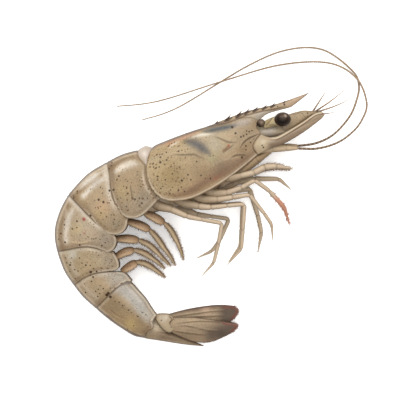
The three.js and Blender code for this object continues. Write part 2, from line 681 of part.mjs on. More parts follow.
const PLEOPOD_OFFSETS = [2.1, 2.3, 2.5, 2.7, 2.8, 2.9, 3.0];

function pleopod(points, sign) {
  const joints = points.map(([x, y], i) => [x, y, midHeight(y) + sign * PLEOPOD_OFFSETS[i]]);
  return limb(smoothRings(joints, PLEOPOD_RADII, PLEOPOD_RINGS), PLEOPOD_SIDES, PLEOPOD_BREADTH);
}

// ---- Assembly -----------------------------------------------------------------------------------

const parts = [];
const add = (name, shape, colour, roughness) => parts.push(meshOf(name, shape, colour, roughness));

const thorax = largest(cutBy(thoraxUnderside(), [carapaceCutter, somiteCutters[0]]));
const thoraxCutter = thoraxUnderside(SEAM);

add("carapace", carapace, COLOURS.carapace);
add("hinge_lobe", hingeLobe(), COLOURS.membrane);
add("thorax_underside", thorax, COLOURS.membrane);
somites.forEach((shape, i) => add(`somite_${i + 1}`, shape, COLOURS.abdomen));
add("telson", telson(), COLOURS.tail);
add("head_core", largest(cutBy(headCore(), [carapaceCutter])), COLOURS.head);

for (const pair of SIDES) {
  const { side, sign } = pair;
  add(`eye_${side}`, eye(sign), COLOURS.eye, 0.15);
  add(`eyestalk_${side}`, largest(cutBy(eyestalk(sign), [carapaceCutter, headCore(SEAM)])), COLOURS.head);
  add(`orbit_bead_${side}`, bead(sign), COLOURS.eye, 0.2);
  add(`antennule_${side}`, antennule(pair), COLOURS.head);
  add(`antennal_scale_${side}`, antennalScale(sign), COLOURS.head);
  add(`antenna_base_${side}`, antennaBase(pair), COLOURS.head);
  add(`antenna_${side}`, flagellum(pair), COLOURS.antenna, 0.5);
  const jawFoot = jointedLeg(JAW_FOOT, JAW_FOOT_RADII, sign);
  add(`maxilliped_${side}`, largest(cutBy(jawFoot, [carapaceCutter, thoraxCutter])), COLOURS.leg);
  LEGS.forEach((leg, i) => {
    const cutters = [carapaceCutter, thoraxCutter, somiteCutters[0]];
    const shape = largest(cutBy(jointedLeg(leg[side], leg.radii, sign), cutters));
    add(`leg_${i + 1}_${side}`, shape, i === 1 && side === "right" ? COLOURS.redLeg : COLOURS.leg, 0.45);
  });
  PLEOPODS.forEach((points, i) => {
    const shape = largest(cutBy(pleopod(points, sign), [...somiteCutters, thoraxCutter]));
    add(`pleopod_${i + 1}_${side}`, shape, COLOURS.pleopod, 0.5);
  });
  const outerBlade = tailBlade(OUTER_BLADE, [1.9, 2.35], 0.5, sign);
  const innerBlade = tailBlade(INNER_BLADE, [0.75, 0.85], 0.4, sign);
  const tailCutters = [tailBase(sign, SEAM), telson(SEAM)];
  const base = largest(cutBy(tailBase(sign), [telson(SEAM), somiteCutters[5]]));
  add(`tail_base_${side}`, base, COLOURS.membrane);
  add(`tail_outer_blade_${side}`, largest(cutBy(outerBlade, tailCutters)), COLOURS.tail);
  add(`tail_inner_blade_${side}`, largest(cutBy(innerBlade, tailCutters)), COLOURS.tail);
}

const shrimp = new THREE.Group();
shrimp.name = "shrimp";
shrimp.add(...parts);

// The footprint's middle becomes the origin.
const footprint = new THREE.Box3().setFromObject(shrimp);
const middle = footprint.getCenter(new THREE.Vector3());
shrimp.position.set(-middle.x, -middle.y, -footprint.min.z);

export default shrimp;
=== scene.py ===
"""A raw brown shrimp with its head and shell on, lying on its left flank on a pale table.

The shrimp is drawn from its right side in millimetres: X towards the rostrum's tip, Y towards the back of the
head, Z across the animal and up from the table. Pieces are made in that drawing and carried to the frame.
"""

import math

import bpy
import numpy as np
from bpy.props import FloatProperty, FloatVectorProperty, PointerProperty
from bpy.types import Operator, Panel, PropertyGroup
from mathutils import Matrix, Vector


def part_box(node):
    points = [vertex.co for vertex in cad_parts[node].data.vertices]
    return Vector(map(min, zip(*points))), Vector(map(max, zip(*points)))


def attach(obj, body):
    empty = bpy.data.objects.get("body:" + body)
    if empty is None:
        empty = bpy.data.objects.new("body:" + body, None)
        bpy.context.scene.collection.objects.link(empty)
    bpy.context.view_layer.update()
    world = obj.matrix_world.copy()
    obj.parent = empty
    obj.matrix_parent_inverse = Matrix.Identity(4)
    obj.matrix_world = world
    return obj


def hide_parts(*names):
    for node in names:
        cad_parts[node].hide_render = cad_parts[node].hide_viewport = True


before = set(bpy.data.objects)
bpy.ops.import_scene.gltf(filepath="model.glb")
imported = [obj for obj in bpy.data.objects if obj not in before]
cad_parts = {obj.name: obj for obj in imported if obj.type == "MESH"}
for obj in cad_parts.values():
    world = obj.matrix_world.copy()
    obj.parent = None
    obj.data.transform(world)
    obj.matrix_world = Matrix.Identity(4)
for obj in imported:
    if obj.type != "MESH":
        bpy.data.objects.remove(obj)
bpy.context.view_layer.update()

bl_info = {
    "name": "Raw brown shrimp",
    "version": (1, 0, 0),
    "blender": (4, 5, 0),
    "location": "3D View > Sidebar > Shrimp",
    "description": "Shell, head, legs and tail fan of a raw brown shrimp, with a table and soft light",
    "category": "Object",
}

MILLIMETRE = 0.001
BEAD_PLACE = (15.45, 21.75)
BEAD_OFFSET = 3.4
MID_HEIGHT = 6.6
TAIL_MID_HEIGHT = 3.3
LEAN_FROM = -10.0
LEAN_TO = -43.0
TAPER = 0.3

# The drawing's origin in the frame, found from the small round bead behind the right eye.
bead_low, bead_high = (np.array(corner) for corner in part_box("orbit_bead_right"))
bead_drawn = np.array([*BEAD_PLACE, MID_HEIGHT + BEAD_OFFSET]) * MILLIMETRE
DRAWING_ORIGIN = (bead_low + bead_high) / 2 - bead_drawn

SIDES = {"right": 1, "left": -1}

# ---- Numbers and lines ----


def mix(a, b, t):
    return a + (b - a) * t


def smooth(t):
    t = np.clip(t, 0, 1)
    return t * t * (3 - 2 * t)


def ramp(value, low, high):
    """0 below low, 1 above high, and smooth between them."""
    return smooth((np.asarray(value, float) - low) / (high - low))


def bump(offset, width):
    return np.exp(-((offset / width) ** 2))


def profile(samples, t):
    """A value that runs smoothly through evenly spaced samples."""
    samples = np.asarray(samples, float)
    x = np.clip(t, 0, 1) * (len(samples) - 1)
    i = np.minimum(len(samples) - 2, np.floor(x).astype(int))
    return mix(samples[i], samples[i + 1], smooth(x - i))


def shade(colour):
    """A colour of 8-bit sRGB numbers, as numbers from 0 to 1."""
    return np.asarray(colour, float) / 255


def linear(colour):
    colour = np.clip(np.asarray(colour, float), 0, 1)
    return np.where(colour <= 0.04045, colour / 12.92, ((colour + 0.055) / 1.055) ** 2.4)


def mid_height(y):
    """Height of the animal's middle plane above the table."""
    return mix(MID_HEIGHT, TAIL_MID_HEIGHT, smooth((y - LEAN_FROM) / (LEAN_TO - LEAN_FROM)))


class Line:
    """A smooth line through points, run through by its own length."""

    def __init__(self, points, samples=300):
        points = np.asarray(points, float)
        last = len(points) - 1
        t = np.linspace(0, last, samples)
        i = np.minimum(last - 1, np.floor(t).astype(int))
        w = (t - i)[:, None]
        p0, p1 = points[np.maximum(i - 1, 0)], points[i]
        p2, p3 = points[i + 1], points[np.minimum(i + 2, last)]
        v0, v1 = (p2 - p0) / 2, (p3 - p1) / 2
        cubic = (2 * p1 - 2 * p2 + v0 + v1) * w**3 + (-3 * p1 + 3 * p2 - 2 * v0 - v1) * w**2
        self.points = cubic + v0 * w + p1
        steps = np.linalg.norm(np.diff(self.points, axis=0), axis=1)
        self.run = np.concatenate([[0], np.cumsum(steps)])
        self.length = self.run[-1]

    def at(self, share):
        """Points at shares of the length, straight on past either end."""
        share = np.asarray(share, float)
        inside = np.clip(share, 0, 1)
        axes = range(self.points.shape[1])
        place = np.stack([np.interp(inside * self.length, self.run, self.points[:, k]) for k in axes], -1)
        first = (self.points[3] - self.points[0]) / self.run[3]
        last = (self.points[-1] - self.points[-4]) / (self.length - self.run[-4])
        past = ((share - inside) * self.length)[..., None]
        return place + np.where(past < 0, first, last) * past


class Patch:
    """A four-sided piece of the side view: along runs from front to rear, down from back to belly."""

    def __init__(self, front, rear, back, belly):
        self.front, self.rear, self.back, self.belly = map(Line, (front, rear, back, belly))

    def point(self, along, down):
        along, down = np.broadcast_arrays(np.asarray(along, float), np.asarray(down, float))
        a, d = along[..., None], down[..., None]
        corners = (
            (1 - a) * (1 - d) * self.front.at(0)
            + (1 - a) * d * self.front.at(1)
            + a * (1 - d) * self.rear.at(0)
            + a * d * self.rear.at(1)
        )
        sides = (1 - a) * self.front.at(down) + a * self.rear.at(down)
        edges = (1 - d) * self.back.at(along) + d * self.belly.at(along)
        return sides + edges - corners


def distance_to(places, line, samples=70):
    """Distance of each place to a line in the side view, and the share of the line it is nearest to."""
    shares = np.linspace(0, 1, samples)
    marks = line.at(shares)
    low, high = marks.min(axis=0) - 4, marks.max(axis=0) + 4
    close = np.all((places > low) & (places < high), axis=1)
    far = np.full(len(places), 9.0)
    share = np.zeros(len(places))
    if close.any():
        offset = places[close][:, None, :] - marks[None, :-1]
        step = np.diff(marks, axis=0)
        t = np.clip(np.sum(offset * step, -1) / np.sum(step * step, -1), 0, 1)
        gap = np.linalg.norm(offset - t[..., None] * step, axis=-1)
        nearest = gap.argmin(axis=1)
        rows = np.arange(len(gap))
        far[close] = gap[rows, nearest]
        share[close] = (nearest + t[rows, nearest]) / (samples - 1)
    return far, share


def stroke_weight(places, points, width, taper=TAPER):
    """How strongly a stroke through points covers each place. It thins out over a share taper of its ends."""
    far, share = distance_to(places, Line(points))
    ends = np.sqrt(np.clip(np.minimum(share, 1 - share) / taper, 0, 1))
    return bump(far, width * np.maximum(ends, 0.05)) * ends


# ---- Making pieces ----


class Paint:
    """Colour, speckling and spots laid on the points of a piece, by their places in the side view."""

    def __init__(self, points, ground, specks=0.0):
        self.places = np.asarray(points, float).reshape(-1, 3)[:, :2]
        self.tint = np.tile(shade(ground), (len(self.places), 1))
        self.specks = np.full(len(self.places), specks)
        self.spots = np.zeros(len(self.places))

    def lay(self, colour, weight):
        weight = np.clip(np.asarray(weight, float).reshape(-1, 1), 0, 1)
        self.tint += (shade(colour) - self.tint) * weight

    def stroke(self, points, width, colour, strength, taper=TAPER):
        self.lay(colour, strength * stroke_weight(self.places, points, width, taper))

    def blot(self, centre, radius, colour, strength):
        gap = np.linalg.norm(self.places - np.asarray(centre, float), axis=1)
        self.lay(colour, strength * bump(gap, radius))

    def draw(self, marks):
        """Lays blots, each given by one place, and strokes, each given by a line of places."""
        for points, *look in marks:
            if np.ndim(points) == 1:
                self.blot(points, *look)
            else:
                self.stroke(points, *look)

    def crisp_stroke(self, points, half_width, colour, strength):
        """A stroke of even width with crisp edges and round ends."""
        far, _ = distance_to(self.places, Line(points))
        self.lay(colour, strength * (1 - ramp(far, 0.7 * half_width, 1.1 * half_width)))

    def dot(self, spots):
        """Adds the dark spots, each an x, a y and a radius."""
        for *place, radius in spots:
            gap = np.linalg.norm(self.places - np.array(place), axis=1)
            self.spots = np.maximum(self.spots, np.clip(1 - gap / (2 * radius), 0, 1))


class Shape:
    """The closed parts of one piece, with the paint on them, before they become a mesh."""

    def __init__(self):
        self.points, self.quads, self.triangles = [], [], []
        self.tints, self.specks, self.spots, self.skins = [], [], [], []
        self.count = 0

    def add(self, points, quads, triangles, paint, skin):
        points = np.asarray(points, float).reshape(-1, 3)
        quads = np.asarray(quads, int).reshape(-1, 4)
        triangles = np.asarray(triangles, int).reshape(-1, 3)
        fans = np.concatenate([quads[:, [0, 1, 2]], quads[:, [0, 2, 3]], triangles])
        a, b, c = (points[fans[:, k]] - points.mean(axis=0) for k in range(3))
        if np.sum(a * np.cross(b, c)) < 0:
            quads, triangles = quads[:, ::-1], triangles[:, ::-1]
        self.points.append(points)
        self.quads.append(quads + self.count)
        self.triangles.append(triangles + self.count)
        self.tints.append(paint.tint)
        self.specks.append(paint.specks)
        self.spots.append(paint.spots)
        self.skins.append(np.asarray(skin, float).reshape(-1, 3))
        self.count += len(points)

    def make(self, name, material, nodes, slot):
        """The mesh object of the piece, riding on the body in place of its CAD nodes."""
        points = np.concatenate(self.points)
        points[:, 2] = np.maximum(points[:, 2], 0.0)
        placed = points * MILLIMETRE + DRAWING_ORIGIN
        placed[:, 2] = np.maximum(placed[:, 2], 0.0)
        faces = np.concatenate(self.quads).tolist() + np.concatenate(self.triangles).tolist()
        mesh = bpy.data.meshes.new(name)
        mesh.from_pydata(placed.tolist(), [], faces)
        mesh.polygons.foreach_set("use_smooth", [True] * len(faces))
        tints = linear(np.concatenate(self.tints)) * np.array(bpy.context.scene.shrimp_shell.tone)
        rgba = np.concatenate([tints, np.ones((len(tints), 1))], axis=1)
        colours = mesh.color_attributes.new("tint", "FLOAT_COLOR", "POINT")
        colours.data.foreach_set("color", rgba.ravel())
        for key, values in (("specks", self.specks), ("spots", self.spots)):
            layer = mesh.attributes.new(key, "FLOAT", "POINT")
            layer.data.foreach_set("value", np.concatenate(values))
        skin = mesh.attributes.new("skin", "FLOAT_VECTOR", "POINT")
        skin.data.foreach_set("vector", np.concatenate(self.skins).ravel())
        mesh.materials.append(material)
        mesh.update()
        piece = bpy.data.objects.new(name, mesh)
        bpy.context.scene.collection.objects.link(piece)
        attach(piece, "root")
        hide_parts(*nodes)


def grid_quads(rows, columns):
    """Faces of a tube of rows rings, each of columns points and closed on itself."""
    index = np.arange(rows * columns).reshape(rows, columns)
    index = np.concatenate([index, index[:, :1]], axis=1)
    return np.stack([index[:-1, :-1], index[1:, :-1], index[1:, 1:], index[:-1, 1:]], -1).reshape(-1, 4)


def add_tube(shape, rings, paint_points, skin=None):
    """Adds a closed tube. paint_points(points, row, column) gives the Paint of its points and two caps."""
    skin = skin_of(rings) if skin is None else skin
    rows, columns = rings.shape[:2]
    ends = np.stack([rings[0].mean(axis=0), rings[-1].mean(axis=0)])
    points = np.concatenate([rings.reshape(-1, 3), ends])
    around = np.arange(columns)
    after = (around + 1) % columns
    base = (rows - 1) * columns
    first = np.stack([np.full(columns, rows * columns), around, after], -1)
    last = np.stack([np.full(columns, rows * columns + 1), base + after, base + around], -1)
    row = np.concatenate([np.repeat(np.arange(rows), columns), [0, rows - 1]])
    column = np.concatenate([np.tile(around, rows), [0, 0]])
    skins = np.concatenate([skin.reshape(-1, 3), skin[0, :1], skin[-1, :1]])
    paint = paint_points(points, row, column)
    shape.add(points, grid_quads(rows, columns), np.concatenate([first, last]), paint, skins)


def outward(rings):
    """Unit normals of a tube's points, pointing out."""
    across = np.roll(rings, -1, axis=1) - np.roll(rings, 1, axis=1)
    along = np.gradient(rings, axis=0)
    normal = np.cross(along, across)
    normal /= np.maximum(np.linalg.norm(normal, axis=-1, keepdims=True), 1e-9)
    centre = rings.mean(axis=1, keepdims=True)
    if np.sum(normal * (rings - centre)) < 0:
        normal = -normal
    return normal


def skin_of(rings):
    """Flat coordinates in millimetres: the run along the tube and the run round it from its first column."""
    along = np.linalg.norm(np.diff(rings.mean(axis=1), axis=0), axis=1)
    along = np.concatenate([[0], np.cumsum(along)])
    steps = np.linalg.norm(np.diff(rings, axis=1), axis=2)
    around = np.concatenate([np.zeros((len(rings), 1)), np.cumsum(steps, axis=1)], axis=1)
    return np.stack([np.broadcast_to(along[:, None], around.shape), around, np.zeros_like(around)], -1)


# ---- Shell plates ----

SOMITE_HALF_WIDTHS = (6.75, 6.7, 6.3, 5.6, 4.8, 4.2, 3.1)
SHELL_STEP = 0.3
ARCH_REACH = 0.6
ARCH_POWER = 2.2
FLANK_TUCK = 0.16
SHELL_THICKNESS = 0.35

REAR_EDGES = (
    ((-17.4, 14.5), (-18.5, 11.4), (-19.0, 7.8), (-18.4, 4.2), (-16.8, 1.2), (-14.4, -0.9)),
    ((-30.8, 10.3), (-29.9, 6.0), (-29.4, 1.8), (-28.3, -2.1), (-26.7, -5.3)),
    ((-42.4, 0.6), (-38.1, -3.7), (-35.2, -6.8), (-32.7, -10.3)),
    ((-45.9, -16.6), (-42.2, -15.9), (-38.3, -15.2), (-34.7, -15.4), (-30.6, -16.9)),
    ((-40.9, -26.9), (-37.8, -24.5), (-34.7, -23.2), (-31.6, -22.7), (-28.8, -22.4)),
    ((-34.4, -33.8), (-30.0, -29.3), (-25.9, -26.1), (-23.3, -25.5)),
    ((-19.6, -42.8), (-18.9, -40.8), (-17.0, -39.6), (-17.1, -37.6), (-16.0, -35.7)),
)
BELLY_EDGES = (
    ((-15.6, -1.4), (-18.9, -4.8), (-21.6, -6.5), (-24.6, -6.6)),
    ((-24.4, -7.3), (-25.1, -9.8), (-27.0, -11.4), (-29.7, -11.5)),
    ((-28.2, -11.9), (-27.8, -13.2), (-28.1, -14.9), (-29.1, -16.3)),
    ((-28.4, -17.2), (-27.5, -18.8), (-27.1, -20.4), (-27.4, -21.7)),
    ((-27.3, -22.6), (-25.8, -22.9), (-24.6, -23.8)),
    ((-23.3, -26.2), (-21.1, -28.7), (-19.2, -30.9), (-17.6, -33.4)),
)
BACKS = (
    ((-26.4, 12.5),),
    ((-36.9, 6.5),),
    ((-44.7, -3.6), (-46.3, -8.4), (-46.6, -12.4)),
    ((-44.8, -19.9), (-43.4, -23.2)),
    ((-38.2, -30.3),),
    ((-30.3, -37.3), (-26.4, -40.0), (-22.9, -42.1)),
)
FRONT_SHARES = (0, 0.97, 0.92, 0.93, 0.94, 0.97)
FIRST_SOMITE_FRONT = (
    (-21.8, 13.8), (-21.4, 11.6), (-19.4, 9.0), (-19.3, 6.0), (-18.4, 3.2), (-15.6, -1.4),
)
CARAPACE_FRONT = ((14.4, 22.9), (13.9, 20.7), (15.0, 18.8), (13.6, 16.7), (12.8, 14.6), (14.3, 12.2))
CARAPACE_BACK = ((14.4, 22.9), (11.6, 23.8), (6.6, 22.8), (-4.5, 19.8), (-15.0, 15.9), (-17.4, 14.5))
CARAPACE_BELLY = (
    (14.3, 12.2), (9.9, 8.5), (4.5, 4.5), (-0.9, 1.3), (-6.0, -0.9), (-11.4, -1.6), (-14.4, -0.9),
)
ROSTRUM_TOP = ((-2.4, 20.2), (5.7, 23.5), (12.0, 25.7), (20.1, 27.7), (29.8, 31.1))
ROSTRUM_BOTTOM = ((6.0, 20.4), (13.6, 22.2), (17.4, 24.7), (23.7, 26.5), (25.2, 27.3), (29.8, 30.9))

INK = (88, 68, 52)
DARK_LINE = (62, 44, 30)
RIM = (214, 199, 182)
TAN = (184, 162, 130)
BROWN = (146, 122, 98)
UMBER = (112, 88, 66)
PEARL = (195.4, 180.7, 168.2)


def arch(down):
    """Half width of the rounded back and flank, as a share of the widest, from the back's ridge down."""
    over = np.clip(down / ARCH_REACH, 0, 1)
    low = np.clip((down - ARCH_REACH) / (1 - ARCH_REACH), 0, None)
    return (1 - (1 - over) ** ARCH_POWER) ** (1 / ARCH_POWER) * (1 - FLANK_TUCK * low**2)


def flank_steps(over, low):
    """Shares of the height from ridge to belly edge, close together over the ridge and at the edge."""
    turn = np.linspace(0, math.pi / 2, over, endpoint=False)
    rounded = ARCH_REACH * (1 - np.cos(turn) ** (2 / ARCH_POWER))
    straight = mix(ARCH_REACH, 1, np.sin(np.linspace(0, math.pi / 2, low)) ** 1.15)
    return np.concatenate([rounded, straight])


def plate_section(right, belly, left):
    """(down, across) round a plate: down the right flank, across the hollow belly and up the left flank."""
    up = flank_steps(*right)
    under = np.linspace(0.5, -0.5, belly + 2)[1:-1]
    back = flank_steps(*left)[:0:-1]
    down = np.concatenate([up, np.ones(belly), back])
    across = np.concatenate([np.full(len(up), 0.5), under, np.full(len(back), -0.5)])
    return down, across


class Grid:
    """Rings of points over a patch of the side view. along and down say where each lies between its edges."""

    def settle(self, patch, side_view, height):
        self.rings = np.concatenate([side_view, height[..., None]], axis=-1)
        self.skin = skin_of(self.rings)
        flat = side_view.reshape(-1, 2)
        gaps = [distance_to(flat, line)[0] for line in (patch.front, patch.rear, patch.back, patch.belly)]
        self.from_front, self.from_rear, self.from_back, self.from_belly = (
            gap.reshape(self.along.shape) for gap in gaps
        )

    def raise_by(self, relief):
        """Moves the points out by relief, in millimetres."""
        self.rings = self.rings + outward(self.rings) * relief[..., None]

    def near(self, points, width, taper=TAPER):
        """How strongly a stroke through points covers each point of the rings."""
        return stroke_weight(self.rings.reshape(-1, 3)[:, :2], points, width, taper).reshape(self.along.shape)

    def values(self, field):
        """A field of the grid as one value for each point of the piece and for its two end caps."""
        return np.concatenate([field.ravel(), [field[0].mean(), field[-1].mean()]])

    def paint(self, ground, specks=0.0):
        caps = self.rings[[0, -1]].mean(axis=1)
        return Paint(np.concatenate([self.rings.reshape(-1, 3), caps]), ground, specks)

    def add_to(self, shape, paint):
        add_tube(shape, self.rings, lambda *_: paint, self.skin)
        return shape


class Plate(Grid):
    """A closed plate of shell, round from its back to its belly edges."""

    def __init__(self, patch, half_width, section, shares, groove):
        down, across = section
        self.along = np.broadcast_to(shares[:, None], (len(shares), len(down)))
        self.down = np.broadcast_to(down * (1 - groove * (1 - 4 * across**2)), self.along.shape)
        self.flank = np.broadcast_to(np.abs(across) > 0.499, self.along.shape)
        side_view = patch.point(self.along, self.down)
        height = mid_height(side_view[..., 1]) + 2 * across * half_width(self.along, self.down)
        self.settle(patch, side_view, height)

    def folded(self):
        """The rings with the rear edge turned in, as the thickness of the shell."""
        inner = self.rings[-1] - outward(self.rings)[-1] * SHELL_THICKNESS
        deeper = mix(inner, inner.mean(axis=0), 0.12)
        return np.concatenate([self.rings, [mix(self.rings[-1], inner, 0.5)], [inner], [deeper]])

    def rim(self, width, hollow_place):
        """The raised rim along the belly and rear edges, and the shallow hollow inside it."""
        height = bpy.context.scene.shrimp_shell.rim_height
        low = ramp(self.down, 0.35, 0.7)
        raised = np.maximum(bump(self.from_belly - 0.5, width), bump(self.from_rear - 0.5, width) * low)
        belly, rear = bump(self.from_belly - hollow_place, 0.3), bump(self.from_rear - hollow_place, 0.3)
        return height * raised - 0.6 * height * np.maximum(belly, rear * low)


def edge_shares(count):
    """Shares from 0 to 1, closer together towards the rear edge."""
    plain = np.linspace(0, 1, count)
    return np.where(plain > 0.85, 1 - (1 - plain) * mix(1, 0.2, ramp(plain, 0.85, 1)), plain)


# ---- Settings ----


class ShrimpShell(PropertyGroup):
    tone: FloatVectorProperty(
        name="Tone", description="Multiplies every painted colour of the shrimp", subtype="COLOR",
        default=(0.58, 0.568, 0.53), min=0.0, max=1.5,
    )
    speck_cell: FloatProperty(
        name="Speck spacing", description="Mean distance between two specks of the shell, in millimetres",
        default=0.85, min=0.3, max=3.0,
    )
    rim_height: FloatProperty(
        name="Rim height", description="How far a plate's edge stands up, in millimetres", default=0.1,
        min=0.0, max=0.4,
    )
    wetness: FloatProperty(
        name="Wetness", description="Multiplies the weight of the wet coat", default=1.0, min=0.0, max=3.0,
    )


class ShrimpTable(PropertyGroup):
    colour: FloatVectorProperty(
        name="Table", description="Colour of the table", subtype="COLOR", default=(0.95, 0.947, 0.943),
        min=0.0, max=1.0,
    )
    glow: FloatProperty(
        name="Table glow", description="Light of the lit table itself", default=0.3, min=0.0, max=2.0,
    )
    key: FloatProperty(
        name="Main light", description="Power of the soft light from above the back", default=2.9,
        min=0.0, max=20.0, unit="POWER",
    )
    fill: FloatProperty(
        name="Fill light", description="Power of the light from above", default=4.3, min=0.0, max=20.0,
        unit="POWER",
    )


# ---- Finishes ----


class Finish:
    """The nodes of one material."""

    def __init__(self, name):
        self.material = bpy.data.materials.new(name)
        self.material.use_nodes = True
        self.tree = self.material.node_tree
        self.surface = self.tree.nodes["Principled BSDF"]

    def node(self, kind, **settings):
        made = self.tree.nodes.new(kind)
        for key, value in settings.items():
            if key in made.inputs:
                made.inputs[key].default_value = value
            else:
                setattr(made, key, value)
        return made

    def link(self, source, target):
        self.tree.links.new(source, target)

    def attribute(self, name, output):
        return self.node("ShaderNodeAttribute", attribute_name=name).outputs[output]

    def feed(self, socket, value):
        """Gives a socket a fixed value, or the output of another node."""
        if isinstance(value, (int, float, tuple)):
            socket.default_value = value
        else:
            self.link(value, socket)

    def maths(self, operation, a, b):
        made = self.node("ShaderNodeMath", operation=operation)
        self.feed(made.inputs[0], a)
        self.feed(made.inputs[1], b)
        return made.outputs[0]

    def between(self, value, low, high, start=0.0, end=1.0):
        """Runs smoothly from start to end as the value goes from low to high."""
        limits = {"From Min": low, "From Max": high, "To Min": start, "To Max": end}
        made = self.node("ShaderNodeMapRange", interpolation_type="SMOOTHSTEP", **limits)
        self.link(value, made.inputs["Value"])
        return made.outputs["Result"]

    def blend(self, colour, other, amount):
        made = self.node("ShaderNodeMix", data_type="RGBA")
        self.feed(made.inputs["Factor"], amount)
        self.feed(made.inputs[6], colour)
        self.feed(made.inputs[7], other)
        return made.outputs[2]

    def noise(self, place, scale, detail=3.0, roughness=0.55):
        made = self.node("ShaderNodeTexNoise", Scale=scale, Detail=detail, Roughness=roughness)
        self.link(place, made.inputs["Vector"])
        return made.outputs["Fac"]

    def voronoi(self, place, scale):
        made = self.node("ShaderNodeTexVoronoi", voronoi_dimensions="2D", Scale=scale)
        self.link(place, made.inputs["Vector"])
        return made.outputs

    def rough(self, value, low, high):
        self.link(self.between(value, 0.3, 0.7, low, high), self.surface.inputs["Roughness"])

    def relief(self, height, strength, depth):
        made = self.node("ShaderNodeBump", Strength=strength, Distance=depth * MILLIMETRE)
        self.link(height, made.inputs["Height"])
        self.link(made.outputs["Normal"], self.surface.inputs["Normal"])

    def set(self, **values):
        for key, value in values.items():
            self.surface.inputs[key.replace("_", " ")].default_value = value
        return self.material


def rgba(colour):
    """A colour of 8-bit sRGB numbers, as a socket takes it."""
    return (*map(float, linear(shade(colour))), 1.0)


def painted_finish(name, rough=(0.34, 0.5), mottle=0.16, coat=0.14, flesh=0.04, bump_depth=0.12, grain=1.6):
    """A finish that shows the paint of a piece, mottled, with dark specks and spots on it."""
    finish = Finish(name)
    place = finish.attribute("skin", "Vector")
    fine = finish.noise(place, grain, 4.0, 0.6)
    broad = finish.noise(place, 0.22, 2.0, 0.5)
    colour = finish.attribute("tint", "Color")
    darker = finish.between(fine, 0.3, 0.7, 1 - mottle, 1 + mottle * 0.6)
    wash = finish.between(broad, 0.3, 0.7, 1 - mottle * 0.5, 1 + mottle * 0.4)
    shaded = finish.node("ShaderNodeVectorMath", operation="SCALE")
    finish.link(colour, shaded.inputs[0])
    finish.link(finish.maths("MULTIPLY", darker, wash), shaded.inputs["Scale"])
    settings = bpy.context.scene.shrimp_shell
    cell = settings.speck_cell
    density = finish.attribute("specks", "Fac")
    colour = shaded.outputs[0]
    for scale, largest, dark in ((1 / cell, 0.24, 0.85), (2.3 / cell, 0.2, 0.6)):
        cells = finish.voronoi(place, scale)
        pick = finish.node("ShaderNodeSeparateColor")
        finish.link(cells["Color"], pick.inputs[0])
        size = finish.maths("POWER", pick.outputs[0], 2.5)
        reach = finish.maths("MULTIPLY", finish.maths("MULTIPLY", size, largest * 2), density)
        inside = finish.between(finish.maths("SUBTRACT", reach, cells["Distance"]), 0.0, 0.06)
        dark_colour = finish.blend(rgba((54, 31, 6)), rgba((98, 66, 34)), pick.outputs[1])
        colour = finish.blend(colour, dark_colour, finish.maths("MULTIPLY", inside, dark))
    edge = finish.maths("ADD", finish.attribute("spots", "Fac"), finish.maths("MULTIPLY", fine, 0.3))
    spot = finish.between(edge, 0.56, 0.7)
    colour = finish.blend(colour, rgba((44, 24, 2)), finish.maths("MULTIPLY", spot, 0.95))
    finish.link(colour, finish.surface.inputs["Base Color"])
    finish.rough(fine, *rough)
    finish.relief(finish.noise(place, 3.2, 5.0, 0.65), 0.35, bump_depth)
    return finish.set(
        Coat_Weight=coat * settings.wetness,
        Coat_Roughness=0.2,
        Subsurface_Weight=flesh,
        Subsurface_Scale=0.0004,
        Specular_IOR_Level=0.15,
    )


# ---- Carapace ----

FLANK_GROOVES = (
    ((-11.8, 11.5), (-10.4, 12.2), (-7.9, 12.2), (-4.8, 12.3), (-3.2, 11.6), (-0.7, 10.7)),
    ((1.2, 17.7), (3.3, 17.0), (5.0, 16.2), (6.7, 15.9), (8.3, 16.0)),
    ((15.2, 18.7), (13.5, 18.0), (11.4, 17.0), (9.8, 15.6), (8.9, 14.0)),
    ((5.9, 11.1), (7.3, 11.9), (8.8, 12.2), (11.4, 12.1)),
    ((3.6, 12.7), (5.0, 13.7), (7.3, 15.4)),
)
GROOVE_STRENGTHS = (0.75, 0.85, 0.9, 0.85, 0.5)
CARINA = ((-1.5, 21.0), (1.8, 21.4), (5.4, 22.0), (10.3, 23.9), (14.7, 25.2), (19.0, 26.0), (23.0, 27.0))
FRONT_SPOTS = (
    (7.6, 18.7, 0.338), (6.6, 20.5, 0.39), (10.9, 18.4, 0.26), (10.9, 19.4, 0.234), (11.7, 19.2, 0.26),
    (12.5, 19.5, 0.234), (9.2, 17.6, 0.286), (10.0, 17.9, 0.26), (13.1, 17.0, 0.195), (12.1, 16.0, 0.26),
    (10.7, 14.9, 0.26), (10.7, 13.8, 0.234), (9.5, 11.5, 0.338),
)
REAR_SPOTS = (
    (-14.8, 10.0, 0.36), (-14.8, 11.5, 0.3), (-12.9, 10.7, 0.28), (-9.4, 13.3, 0.28), (-9.6, 14.7, 0.2),
    (-13.5, 9.4, 0.24), (-11.2, 6.6, 0.26), (-8.4, 4.6, 0.34), (-15.6, 5.8, 0.32), (-6.6, 6.3, 0.28),
    (-9.4, 1.7, 0.28), (-12.0, 0.7, 0.24), (-14.6, 2.2, 0.24), (-4.0, 10.2, 0.26), (0.9, 12.0, 0.22),
    (-2.7, 6.1, 0.28), (0.1, 5.2, 0.26), (-1.4, 5.3, 0.2), (-7.6, 1.3, 0.26), (-13.3, 4.8, 0.26),
    (-16.8, 8.6, 0.26), (-10.6, 7.5, 0.22), (-5.7, 4.8, 0.26), (-13.0, 13.0, 0.24), (-3.0, 15.0, 0.18),
)

